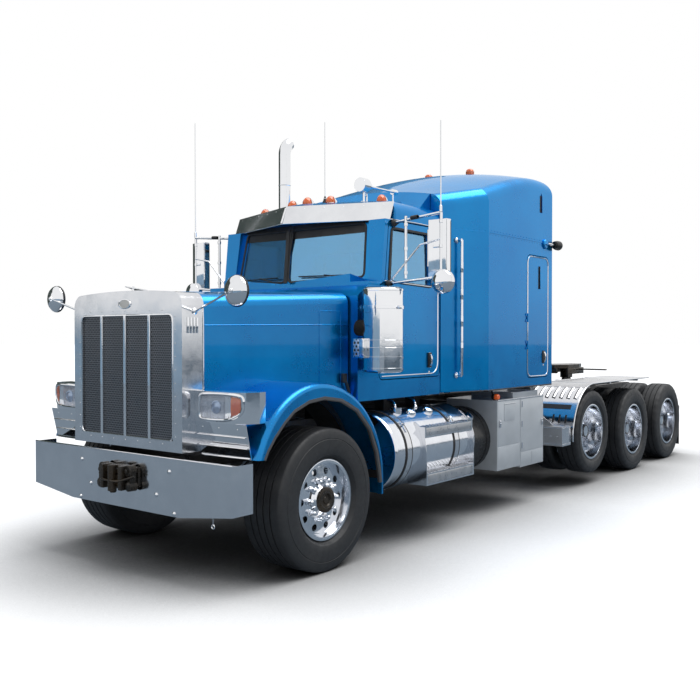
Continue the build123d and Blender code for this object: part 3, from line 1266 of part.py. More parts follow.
with BuildPart() as side_steps:
    front, rear = STEP_BOX_FRONT + 60, STEP_BOX_REAR - 70
    block(STEP_BOX_INNER, STEP_BOX_OUTER, STEP_BOX_FRONT, STEP_BOX_REAR, STEP_BOX_LOW, STEP_BOX_TOP)
    block(STEP_BOX_INNER, STEP_BOX_INNER + 50, front, rear, STEP_BOX_TOP, STEP_ARM_TOP)
    block(RAIL_HALF + SEAT_GAP, STEP_BOX_INNER, front, rear, RAIL_BOTTOM + 10, STEP_ARM_TOP)
    with BuildSketch(front_plane(front)):
        with BuildLine():
            Polyline(
                (STEP_BOX_INNER + 50, STEP_BOX_TOP), (GUSSET_REACH, STEP_BOX_TOP),
                (STEP_BOX_INNER + 50, GUSSET_TOP), close=True,
            )
        make_face()
    extrude(amount=-GUSSET_SHEET)
    mirror(about=Plane.YZ)
save(side_steps, "side_steps")

# ---- fifth wheel -------------------------------------------------------------------------------
FIFTH_STATION = 6020.0
FIFTH_PIVOT_Z = 1230.0
FIFTH_TOP = 1352.0
FIFTH_PLATE = 45.0
FIFTH_HALF = 450.0
FIFTH_FRONT = FIFTH_STATION - 330.0
FIFTH_REAR = FIFTH_STATION + 520.0
FIFTH_PIN_R = 28.0
KINGPIN_SLOT_R = 26.0
PIVOT_HALF = 330.0
PIVOT_THICK = 40.0
THROAT_HALF = 190.0
FIFTH_HANDLE_X = 830.0

with BuildPart() as fifth_base:
    block(-RAIL_HALF, RAIL_HALF, FIFTH_STATION - 380, FIFTH_STATION + 380, RAIL_TOP, RAIL_TOP + 14)
    for _, sign in SIDES:
        foot, head = RAIL_TOP + 14, FIFTH_PIVOT_Z + 40
        ears = ((-150, foot), (150, foot), (60, head), (-60, head))
        points = tuple((FIFTH_STATION + s, z) for s, z in ears)
        extrude(to_extrude=side_shape(sign * PIVOT_HALF, points), amount=sign * PIVOT_THICK)
    rod(
        (-500, FIFTH_STATION, FIFTH_PIVOT_Z), (500, FIFTH_STATION, FIFTH_PIVOT_Z), FIFTH_PIN_R + SEAT_GAP,
        mode=Mode.SUBTRACT,
    )
save(fifth_base, "fifth_base")

with BuildPart() as fifth_plate:
    with BuildSketch(plan_plane(FIFTH_TOP - FIFTH_PLATE)):
        with BuildLine():
            Polyline(
                (-FIFTH_HALF + 120, FIFTH_FRONT), (FIFTH_HALF - 120, FIFTH_FRONT),
                (FIFTH_HALF, FIFTH_FRONT + 170),
                (FIFTH_HALF, FIFTH_STATION + 190), (FIFTH_HALF - 110, FIFTH_REAR), (THROAT_HALF, FIFTH_REAR),
                (KINGPIN_SLOT_R, FIFTH_STATION + 110), (KINGPIN_SLOT_R, FIFTH_STATION),
                (-KINGPIN_SLOT_R, FIFTH_STATION), (-KINGPIN_SLOT_R, FIFTH_STATION + 110),
                (-THROAT_HALF, FIFTH_REAR), (110 - FIFTH_HALF, FIFTH_REAR),
                (-FIFTH_HALF, FIFTH_STATION + 190),
                (-FIFTH_HALF, FIFTH_FRONT + 170), close=True,
            )
        make_face()
        with Locations((0, FIFTH_STATION)):
            Circle(KINGPIN_SLOT_R, mode=Mode.SUBTRACT)
    extrude(amount=FIFTH_PLATE)
    for _, sign in SIDES:
        inner = PIVOT_HALF + PIVOT_THICK + 6
        block(
            sign * inner, sign * (inner + 30), FIFTH_STATION - 70, FIFTH_STATION + 70,
            FIFTH_PIVOT_Z - 50, FIFTH_TOP - FIFTH_PLATE,
        )
        inner = PIVOT_HALF - 6
        block(
            sign * inner, sign * (inner - 30), FIFTH_STATION - 70, FIFTH_STATION + 70,
            FIFTH_PIVOT_Z - 50, FIFTH_TOP - FIFTH_PLATE,
        )
        rod(
            (sign * (PIVOT_HALF - 36), FIFTH_STATION, FIFTH_PIVOT_Z),
            (sign * (PIVOT_HALF + PIVOT_THICK + 36), FIFTH_STATION, FIFTH_PIVOT_Z), FIFTH_PIN_R,
        )
    station, z = FIFTH_STATION + 200, FIFTH_TOP - 67
    rod((300, station, z), (FIFTH_HANDLE_X, station, z), 9)
    block(280, 310, station - 20, station + 20, z - 15, FIFTH_TOP - FIFTH_PLATE)
save(fifth_plate, "fifth_plate")

# ---- tail: lamp bar and mud flaps --------------------------------------------------------------
TAIL_BAR_HALF = 1170.0
TAIL_BAR_LOW = 640.0
TAIL_BAR_HIGH = 700.0
FLAP_THICK = 12.0
FLAP_INNER = 620.0
FLAP_OUTER = 1165.0
FLAP_LOW = 130.0

with BuildPart() as tail_bar:
    front = FLAP_REAR - FLAP_THICK - 50
    block(-TAIL_BAR_HALF, TAIL_BAR_HALF, front, FLAP_REAR - FLAP_THICK, TAIL_BAR_LOW, TAIL_BAR_HIGH)
    block(-RAIL_HALF, RAIL_HALF, RAIL_REAR, front, TAIL_BAR_LOW, RAIL_TOP)
    for _, sign in SIDES:
        block(
            sign * FLAP_INNER, sign * FLAP_OUTER, FLAP_REAR - FLAP_THICK, FLAP_REAR, FLAP_LOW, TAIL_BAR_HIGH,
        )
save(tail_bar, "tail_bar")

# ---- exhaust stack, antennas, beacons, grab bars, work lamps -----------------------------------
STACK_X = -1110.0
STACK_STATION = 2030.0
STACK_R = 63.5
STACK_TOP = 3900.0
STACK_LOW = 1155.0
STACK_ELBOW_R = 52.0
STACK_BEND_R = 150.0

with BuildPart() as exhaust_stack:
    turn = STACK_BEND_R
    with BuildLine(Plane(origin=(STACK_X, FRONT_AXLE_Y, 0), x_dir=(0, 1, 0), z_dir=(1, 0, 0))) as path:
        Line((STACK_STATION, STACK_LOW), (STACK_STATION, STACK_TOP - turn - STACK_R))
        bend = radians(60)
        start = STACK_TOP - turn - STACK_R
        end = (STACK_STATION + turn * (1 - cos(bend)), start + turn * sin(bend))
        RadiusArc((STACK_STATION, start), end, turn)
    with BuildSketch(plan_plane(STACK_LOW)):
        with Locations((STACK_X, STACK_STATION)):
            Circle(STACK_R)
    sweep(path=path.line)
    inner = RAIL_FLANGE - RAIL_HALF
    rod((STACK_X, STACK_STATION, STACK_LOW), (inner, STACK_STATION, STACK_LOW), STACK_ELBOW_R)
    block(RAIL_FLANGE - RAIL_HALF, -RAIL_HALF, STACK_STATION - 30, STACK_STATION + 30, RAIL_TOP, STACK_LOW)
    for z in (1700, 2600):
        block(STACK_X, -(SLEEPER_FRONT_HALF + 50), STACK_STATION - 25, STACK_STATION + 25, z - 20, z + 20)
    add(sleeper_shell.part, mode=Mode.SUBTRACT)
save(exhaust_stack, "exhaust_stack")

# ---- roof lamps, beacons, horn, antennas and grab bar ------------------------------------------
BEACON_X = 275.0
BEACON_STATION = 3590.0
BEACON_R = 50.0
BEACON_LOW = SLEEPER_ROOF[-1][1] - 30
BEACON_TOP = 3610.0

with BuildPart() as roof_lamps:
    for x, station in ROOF_LAMPS:
        foot = roof_height(x)
        block(
            x - LAMP_HALF[0], x + LAMP_HALF[0], station - LAMP_HALF[1], station + LAMP_HALF[1],
            foot - LAMP_SUNK, foot + LAMP_TALL,
        )
    for _, sign in SIDES:
        x = sign * BEACON_X
        rod((x, BEACON_STATION, BEACON_LOW), (x, BEACON_STATION, BEACON_TOP), BEACON_R)
    add(cab_shell.part, mode=Mode.SUBTRACT)
    add(sleeper_shell.part, mode=Mode.SUBTRACT)
save(roof_lamps, "roof_lamps")

HORN_X = 520.0
HORN_STATION = 1300.0
HORN_Z = 3080.0
HORN_R = 62.0
HORN_END = 480.0               # from the bell's foot back to the end of the trumpet
ANTENNA_X = -400.0
ANTENNA_STATION = CAB_REAR - 40.0
ANTENNA_FOOT = ROOF_TOP + 40.0

with BuildPart() as roof_fittings:
    post_foot = roof_height(HORN_X) - 20
    rod((HORN_X, HORN_STATION, post_foot), (HORN_X, HORN_STATION, post_foot + 34), 30)
    rod((HORN_X, HORN_STATION, post_foot), (HORN_X, HORN_STATION, HORN_Z), 10)
    rod((HORN_X, HORN_STATION - 60, HORN_Z), (HORN_X, HORN_STATION + 30, HORN_Z), HORN_R)
    rod((HORN_X, HORN_STATION + 30, HORN_Z), (HORN_X, HORN_STATION + 90, HORN_Z), 30)
    rod((HORN_X, HORN_STATION + 90, HORN_Z), (HORN_X, HORN_STATION + HORN_END, HORN_Z), 11)
    end = HORN_STATION + HORN_END
    rod((HORN_X, end - 40, HORN_Z), (HORN_X, end + 20, HORN_Z), 26)
    rod((HORN_X, end - 30, post_foot), (HORN_X, end - 30, HORN_Z), 8)
    rod((ANTENNA_X, ANTENNA_STATION, ANTENNA_FOOT), (ANTENNA_X, ANTENNA_STATION, ANTENNA_FOOT + 150), 14)
    rod((ANTENNA_X, ANTENNA_STATION, ANTENNA_FOOT), (ANTENNA_X, ANTENNA_STATION, ANTENNA_TOP), ANTENNA_R)
    add(cab_shell.part, mode=Mode.SUBTRACT)
save(roof_fittings, "roof_fittings")

GRAB_X = 1075.0
GRAB_STATION = 2070.0
GRAB_LOW = 1366.0
GRAB_TOP = 2622.0
GRAB_R = 15.0
WORK_LAMP = (1170.0, 3620.0, 2708.0)         # x of the sleeper's side, station, height
WORK_LAMP_R = 45.0

with BuildPart() as grab_bars:
    rod((GRAB_X, GRAB_STATION, GRAB_LOW), (GRAB_X, GRAB_STATION, GRAB_TOP), GRAB_R)
    for z in (GRAB_LOW, GRAB_TOP):
        rod((GRAB_X, GRAB_STATION, z), (SLEEPER_FRONT_HALF + 50, GRAB_STATION, z), GRAB_R)
    for _, sign in SIDES:
        x, station, z = WORK_LAMP
        rod((sign * x, station, z), (sign * (x + 40), station, z), 12)
        rod((sign * x, station, z), (sign * (x + 10), station, z), WORK_LAMP_R)
        rod((sign * (x + 40), station - 12, z), (sign * (x + 40), station + 210, z), 12)
        rod((sign * (x + 40), station + 200, z), (sign * (x + 40), station + 260, z), WORK_LAMP_R)
    add(sleeper_shell.part, mode=Mode.SUBTRACT)
save(grab_bars, "grab_bars")
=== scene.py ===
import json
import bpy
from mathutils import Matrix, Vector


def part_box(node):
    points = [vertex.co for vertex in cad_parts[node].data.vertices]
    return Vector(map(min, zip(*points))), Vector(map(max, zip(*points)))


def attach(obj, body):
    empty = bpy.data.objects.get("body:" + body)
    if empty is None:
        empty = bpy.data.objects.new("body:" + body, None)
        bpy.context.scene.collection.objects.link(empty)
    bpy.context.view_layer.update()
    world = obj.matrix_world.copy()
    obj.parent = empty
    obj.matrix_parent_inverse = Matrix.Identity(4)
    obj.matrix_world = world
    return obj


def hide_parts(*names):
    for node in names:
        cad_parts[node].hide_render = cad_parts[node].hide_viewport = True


bl_info = {
    "name": "Truck tractor dressing",
    "version": (1, 0, 0),
    "blender": (4, 5, 0),
    "location": "3D View > Sidebar > Truck",
    "description": "Finishes, treaded tyres, lamps, trim, cab fittings and a stage for the packed truck tractor",
    "category": "Object",
}

from math import atan2, cos, pi, radians, sin, sqrt

import bmesh
import bpy
from mathutils import Vector

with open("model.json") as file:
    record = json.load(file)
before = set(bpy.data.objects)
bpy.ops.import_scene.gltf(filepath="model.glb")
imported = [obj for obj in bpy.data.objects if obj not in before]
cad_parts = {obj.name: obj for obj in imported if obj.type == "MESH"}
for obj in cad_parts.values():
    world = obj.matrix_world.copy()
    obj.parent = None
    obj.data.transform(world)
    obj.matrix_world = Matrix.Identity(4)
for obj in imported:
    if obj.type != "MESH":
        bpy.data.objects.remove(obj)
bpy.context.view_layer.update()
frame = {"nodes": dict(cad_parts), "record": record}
NODES = frame["nodes"]
FRONT_AXLE = (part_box("tyre_front_left")[0].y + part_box("tyre_front_left")[1].y) / 2
SIDES = (("left", 1), ("right", -1))
REAR_AXLES = (                 # name, distance behind the front axle, tyre radius, axle height
    ("lift", 4.850, 0.485, 0.610),
    ("mid", 6.205, 0.527, 0.527),
    ("tail", 7.560, 0.527, 0.527),
)
FRONT_RADIUS = 0.530           # front tyre
FRONT_FLANGE, REAR_FLANGE = 0.2985, 0.323
LUG_CIRCLE = 0.1429
ACROSS, BACK, UP, AHEAD = (1, 0, 0), (0, 1, 0), (0, 0, 1), (0, -1, 0)


# ---- settings a user may change ----------------------------------------------------------------
class TruckPaint(bpy.types.PropertyGroup):
    body: bpy.props.FloatVectorProperty(
        name="Body colour", description="Colour of the cab, the hood and the sleeper", subtype="COLOR",
        size=3, min=0.0, max=1.0, default=(0.002, 0.27, 0.64),
    )
    body_deep: bpy.props.FloatVectorProperty(
        name="Body colour, deep", description="The darker tone in the metallic paint", subtype="COLOR",
        size=3, min=0.0, max=1.0, default=(0.001, 0.185, 0.50),
    )
    boxes: bpy.props.FloatVectorProperty(
        name="Box colour", description="Colour of the equipment boxes behind the tanks", subtype="COLOR",
        size=3, min=0.0, max=1.0, default=(0.50, 0.54, 0.58),
    )
    amber: bpy.props.FloatVectorProperty(
        name="Amber lens", description="Colour of the marker lamps and beacons", subtype="COLOR",
        size=3, min=0.0, max=1.0, default=(0.90, 0.17, 0.01),
    )


class TruckWheels(bpy.types.PropertyGroup):
    groove: bpy.props.FloatProperty(
        name="Groove depth", description="Depth of the tyres' grooves", subtype="DISTANCE", unit="LENGTH",
        min=0.0, max=0.03, default=0.012,
    )
    steps: bpy.props.IntProperty(
        name="Steps round a tyre", description="Segments round each tyre", min=48, max=192, default=120,
    )
    nut: bpy.props.FloatProperty(
        name="Nut size", description="Half the width of a wheel nut", subtype="DISTANCE", unit="LENGTH",
        min=0.01, max=0.03, default=0.019,
    )


class TruckTrim(bpy.types.PropertyGroup):
    rivet: bpy.props.FloatProperty(
        name="Rivet radius", description="Radius of the rivets' heads", subtype="DISTANCE", unit="LENGTH",
        min=0.002, max=0.02, default=0.006,
    )
    bead: bpy.props.FloatProperty(
        name="Bead radius", description="Radius of the bright beads round doors", subtype="DISTANCE",
        unit="LENGTH", min=0.002, max=0.02, default=0.006,
    )
    seal: bpy.props.FloatProperty(
        name="Seal width", description="Half the width of the rubber seals round glass", subtype="DISTANCE",
        unit="LENGTH", min=0.004, max=0.03, default=0.011,
    )


class TruckStage(bpy.types.PropertyGroup):
    lens: bpy.props.FloatProperty(
        name="Lens", description="Focal length of the camera", unit="CAMERA", min=10.0, max=200.0,
        default=43.94,
    )
    key: bpy.props.FloatProperty(
        name="Key lamp", description="Strength of the large lamp over the left side", min=0.0, default=2.2,
    )
    ambient: bpy.props.FloatProperty(
        name="Ambient light", description="Strength of the light from all round", min=0.0, max=2.0,
        default=0.62,
    )


# ---- shapes ------------------------------------------------------------------------------------
def rounded(points, radius, closed=False, steps=5):
    """The route through the points with its corners rounded."""
    points = [Vector(point) for point in points]
    route = []
    for index, corner in enumerate(points):
        if not closed and index in (0, len(points) - 1):
            route.append(corner)
            continue
        back = points[index - 1] - corner
        ahead = points[(index + 1) % len(points)] - corner
        start = corner + back.normalized() * min(radius, back.length * 0.49)
        end = corner + ahead.normalized() * min(radius, ahead.length * 0.49)
        for step in range(steps + 1):
            part = step / steps
            route.append(start.lerp(corner, part).lerp(corner.lerp(end, part), part))
    return route


def placed(name, data):
    """A new object in the scene with its mesh, lamp or camera."""
    made = bpy.data.objects.new(name, data)
    bpy.context.scene.collection.objects.link(made)
    return made


def hoop(half, foot, edge, radius):
    """The profile of a flat band with sloped edges, for a turned shape."""
    return (-half, foot), (-edge, radius), (edge, radius), (half, foot)


class Shape:
    """One piece's mesh while it is made, in metres, with the front axle at y = 0 and the ground at z = 0."""

    def __init__(self):
        self.mesh = bmesh.new()

    def block(self, x, y, z, bevel=0.003):
        """A box from low and high along each axis, with rounded edges."""
        spans = [sorted(pair) for pair in (x, y, z)]
        middle = Vector([(low + high) / 2 for low, high in spans])
        size = [high - low for low, high in spans]
        made = bmesh.ops.create_cube(self.mesh, size=1.0)["verts"]
        for vertex in made:
            vertex.co = middle + Vector([vertex.co[axis] * size[axis] for axis in range(3)])
        self._soften(made, min(bevel, min(size) * 0.3))
        return self

    def plate(self, outline, push, bevel=0.0):
        """A flat outline pushed out along a vector."""
        corners = [self.mesh.verts.new(point) for point in outline]
        face = self.mesh.faces.new(corners)
        grown = bmesh.ops.extrude_face_region(self.mesh, geom=[face])["geom"]
        moved = [item for item in grown if isinstance(item, bmesh.types.BMVert)]
        bmesh.ops.translate(self.mesh, verts=moved, vec=Vector(push))
        if not face.is_valid:
            self.mesh.faces.new(corners[::-1])
        self._soften(corners + moved, bevel)
        return self

    def _soften(self, corners, offset):
        if offset > 0:
            edges = list({edge for corner in corners for edge in corner.link_edges})
            bmesh.ops.bevel(self.mesh, geom=edges, offset=offset, segments=2, affect="EDGES", profile=0.6)

    def turned(self, profile, centre, axis, steps=24, squash=1.0):
        """A profile of (along, radius) points turned about an axis through centre."""
        along = Vector(axis).normalized()
        side = Vector((0, 0, 1)) if abs(along.z) < 0.9 else Vector((1, 0, 0))
        side = (side - along * side.dot(along)).normalized()
        other = along.cross(side)
        rings = []
        for step in range(steps):
            angle = 2 * pi * step / steps
            spoke = side * cos(angle) + other * sin(angle) * squash
            rings.append([self.mesh.verts.new(Vector(centre) + along * a + spoke * r) for a, r in profile])
        for here, there in zip(rings, rings[1:] + rings[:1]):
            for index in range(len(profile) - 1):
                self.mesh.faces.new((here[index], here[index + 1], there[index + 1], there[index]))
        return self

    def sweep(self, route, profile, up=None, closed=False):
        """A closed profile of (side, up) offsets carried along a route."""
        route = [Vector(point) for point in route]
        count = len(route)
        rings = []
        normal = Vector(up) if up else None
        for index, point in enumerate(route):
            before = route[index - 1] if closed or index else point
            after = route[(index + 1) % count] if closed or index < count - 1 else point
            tangent = (after - before).normalized()
            if normal is None:
                normal = tangent.orthogonal()
            rise = Vector(up) if up else normal
            rise = (rise - tangent * rise.dot(tangent)).normalized()
            normal = rise
            side = tangent.cross(rise)
            rings.append([self.mesh.verts.new(point + side * a + rise * b) for a, b in profile])
        pairs = list(zip(rings, rings[1:]))
        if closed:
            pairs.append((rings[-1], rings[0]))
        else:
            self.mesh.faces.new(rings[0][::-1])
            self.mesh.faces.new(rings[-1])
        turn = len(profile)
        for here, there in pairs:
            for index in range(turn):
                after = (index + 1) % turn
                self.mesh.faces.new((here[index], here[after], there[after], there[index]))
        return self

    def tube(self, points, radius, bend=0.0, sides=10, closed=False):
        """A round bar along points, its corners bent to a radius."""
        route = rounded(points, bend, closed) if bend else points
        ring = [(radius * cos(2 * pi * k / sides), radius * sin(2 * pi * k / sides)) for k in range(sides)]
        return self.sweep(route, ring, closed=closed)

    def strip(self, points, half, tall, up, bend=0.0, closed=False):
        """A flat strip with softened edges along points; up points off the face it lies on."""
        route = rounded(points, bend, closed) if bend else points
        edge = min(half, tall) * 0.45
        ring = (
            (-half, -tall * 0.2), (-half, tall - edge), (edge - half, tall), (half - edge, tall),
            (half, tall - edge), (half, -tall * 0.2),
        )
        return self.sweep(route, ring, up=up, closed=closed)

    def rivet(self, centre, axis, radius, sides=8):
        """A domed rivet head."""
        return self.turned(
            ((-radius * 0.3, radius), (radius * 0.25, radius * 0.85), (radius * 0.5, radius * 0.4),
             (radius * 0.55, 0)), centre, axis, sides,
        )

    def bolt(self, centre, axis, size, tall):
        """A six-sided bolt head on a round washer."""
        self.turned(((-0.001, size * 1.35), (tall * 0.2, size * 1.35), (tall * 0.2, 0)), centre, axis, 14)
        return self.turned(((0, size), (tall * 0.85, size), (tall, size * 0.8), (tall, 0)), centre, axis, 6)

    def surface(self, rows, closed=False):
        """A skin over rows of points; closed joins each row's end to its start."""
        rows = [[self.mesh.verts.new(point) for point in row] for row in rows]
        for here, there in zip(rows, rows[1:]):
            last = len(here) if closed else len(here) - 1
            for index in range(last):
                after = (index + 1) % len(here)
                self.mesh.faces.new((here[index], here[after], there[after], there[index]))
        if closed:
            self.mesh.faces.new(rows[0][::-1])
            self.mesh.faces.new(rows[-1])
        return self

    def both_sides(self):
        """Adds the mirror image across the truck's middle."""
        geometry = self.mesh.verts[:] + self.mesh.edges[:] + self.mesh.faces[:]
        for item in bmesh.ops.duplicate(self.mesh, geom=geometry)["geom"]:
            if isinstance(item, bmesh.types.BMVert):
                item.co.x = -item.co.x
        return self

    def done(self, name, body, slot, finish="", sign=1, replaces=(), angle=35.0):
        """Makes the object, on its body, with the finish of that key or else of its slot."""
        bmesh.ops.remove_doubles(self.mesh, verts=self.mesh.verts[:], dist=2e-5)
        for vertex in self.mesh.verts:
            vertex.co.x *= sign
            vertex.co.y += FRONT_AXLE
        bmesh.ops.recalc_face_normals(self.mesh, faces=self.mesh.faces[:])
        mesh = bpy.data.meshes.new(name)
        self.mesh.to_mesh(mesh)
        self.mesh.free()
        mesh.polygons.foreach_set("use_smooth", [True] * len(mesh.polygons))
        mesh.set_sharp_from_angle(angle=radians(angle))
        mesh.materials.append(FINISHES[finish or slot])
        piece = placed(name, mesh)
        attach(piece, body)
        if replaces:
            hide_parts(*replaces)
        return piece


# ---- finishes ----------------------------------------------------------------------------------
def node(tree, kind, links=(), **values):
    """A shader node of a kind, with its inputs linked and its values set."""
    made = tree.nodes.new("ShaderNode" + kind)
    for name, value in values.items():
        if hasattr(made, name):
            setattr(made, name, value)
        else:
            made.inputs[name.replace("_", " ")].default_value = value
    for output, socket in links:
        tree.links.new(output, made.inputs[socket])
    return made


def maths(tree, operation, *values):
    """The result of a sum on one or two values."""
    links = [(value, place) for place, value in enumerate(values)]
    return node(tree, "Math", links, operation=operation).outputs[0]


def bands(tree, vector, across, spacing):
    """A smooth up and down pattern with its lines square to a direction."""
    along = node(tree, "VectorMath", [(vector, 0)], operation="DOT_PRODUCT")
    along.inputs[1].default_value = Vector(across).normalized() * (2 * pi / spacing)
    return maths(tree, "SINE", along.outputs["Value"])


def relief(tree, vector, kind, grain):
    """The height pattern of a finish; grain is its size in metres."""
    if kind == "weave":
        return maths(
            tree, "MULTIPLY", bands(tree, vector, (1, 0.6, 0), grain),
            bands(tree, vector, (0, 0.6, 1), grain),
        )
    if kind == "tread":
        lines = maths(
            tree, "MULTIPLY", bands(tree, vector, (1, 1, 0.4), grain),
            bands(tree, vector, (1, -1, 0.4), grain),
        )
        raised = maths(tree, "MAXIMUM", lines)
        raised.node.inputs[1].default_value = 0.25
        return raised
    if kind == "ribs":
        return bands(tree, vector, (1, 0, 0), grain)
    if kind == "brushed":
        stretched = node(tree, "Mapping", [(vector, "Vector")])
        stretched.inputs["Scale"].default_value = (0.04, 0.04, 1.0)
        vector = stretched.outputs[0]
    return node(
        tree, "TexNoise", [(vector, "Vector")], Scale=1 / grain, Detail=4.0, Roughness=0.6,
    ).outputs["Fac"]


def finish(name, first, second, roughness, spread=0.08, patch=0.35, kind="noise", grain=0.004, depth=0.0003,
           strength=0.4, sharp=False, **sockets):
    """A surface with two mottled tones, uneven roughness and a fine relief; sockets go to the shader."""
    material = bpy.data.materials.new(name)
    material.use_nodes = True
    tree = material.node_tree
    shader = tree.nodes["Principled BSDF"]
    place = node(tree, "TexCoord").outputs["Object"]
    patches = node(
        tree, "TexNoise", [(place, "Vector")], Scale=1 / patch, Detail=6.0, Roughness=0.65,
    ).outputs["Fac"]
    tones = node(tree, "ValToRGB", [(patches, "Fac")])
    tones.color_ramp.elements[0].position = 0.48 if sharp else 0.30
    tones.color_ramp.elements[1].position = 0.54 if sharp else 0.70
    tones.color_ramp.elements[0].color = (*second, 1)
    tones.color_ramp.elements[1].color = (*first, 1)
    tree.links.new(tones.outputs["Color"], shader.inputs["Base Color"])
    smears = node(
        tree, "TexNoise", [(place, "Vector")], Scale=4 / patch, Detail=5.0, Roughness=0.7,
    ).outputs["Fac"]
    uneven = node(tree, "MapRange", [(smears, "Value")], **{
        "From_Min": 0.3, "From_Max": 0.7, "To_Min": max(roughness - spread, 0.01),
        "To_Max": roughness + spread,
    }).outputs["Result"]
    tree.links.new(uneven, shader.inputs["Roughness"])
    height = relief(tree, place, kind, grain)
    bump = node(tree, "Bump", [(height, "Height")], Strength=strength, Distance=depth)
    tree.links.new(bump.outputs["Normal"], shader.inputs["Normal"])
    for socket, value in sockets.items():
        shader.inputs[socket.replace("_", " ")].default_value = value
    return material


def perforated(name, metal, hole, pitch, share):
    """Sheet metal with staggered round holes, seen along the truck: metal and hole colours, pitch in metres."""
    material = finish(name, metal, metal, 0.35, 0.1, Metallic=0.8)
    tree = material.node_tree
    shader = tree.nodes["Principled BSDF"]
    place = node(tree, "TexCoord").outputs["Object"]
    spots = []
    for shift in (0.0, 0.5):
        grid = node(tree, "Mapping", [(place, "Vector")])
        grid.inputs["Location"].default_value = (shift, 0, shift)
        grid.inputs["Scale"].default_value = (1 / pitch, 0, 1 / (pitch * sqrt(3)))
        cell = node(tree, "VectorMath", [(grid.outputs[0], 0)], operation="FRACTION")
        centred = node(tree, "VectorMath", [(cell.outputs[0], 0)], operation="SUBTRACT")
        centred.inputs[1].default_value = (0.5, 0, 0.5)
        even = node(tree, "VectorMath", [(centred.outputs[0], 0)], operation="MULTIPLY")
        even.inputs[1].default_value = (1, 0, sqrt(3))
        spots.append(node(tree, "VectorMath", [(even.outputs[0], 0)], operation="LENGTH"))
    nearest = maths(tree, "MINIMUM", *(spot.outputs["Value"] for spot in spots))
    edge = node(tree, "MapRange", [(nearest, "Value")], **{
        "From_Min": share - 0.04, "From_Max": share + 0.04,
    }).outputs["Result"]
    colour = node(tree, "Mix", [(edge, "Factor")], data_type="RGBA")
    colour.inputs[6].default_value = (*hole, 1)
    colour.inputs[7].default_value = (*metal, 1)
    tree.links.new(colour.outputs[2], shader.inputs["Base Color"])
    tree.links.new(maths(tree, "MULTIPLY", edge, edge), shader.inputs["Metallic"])
    bump = node(tree, "Bump", [(edge, "Height")], Strength=0.8, Distance=0.002)
    tree.links.new(bump.outputs["Normal"], shader.inputs["Normal"])
    return material


FINISHES = {}


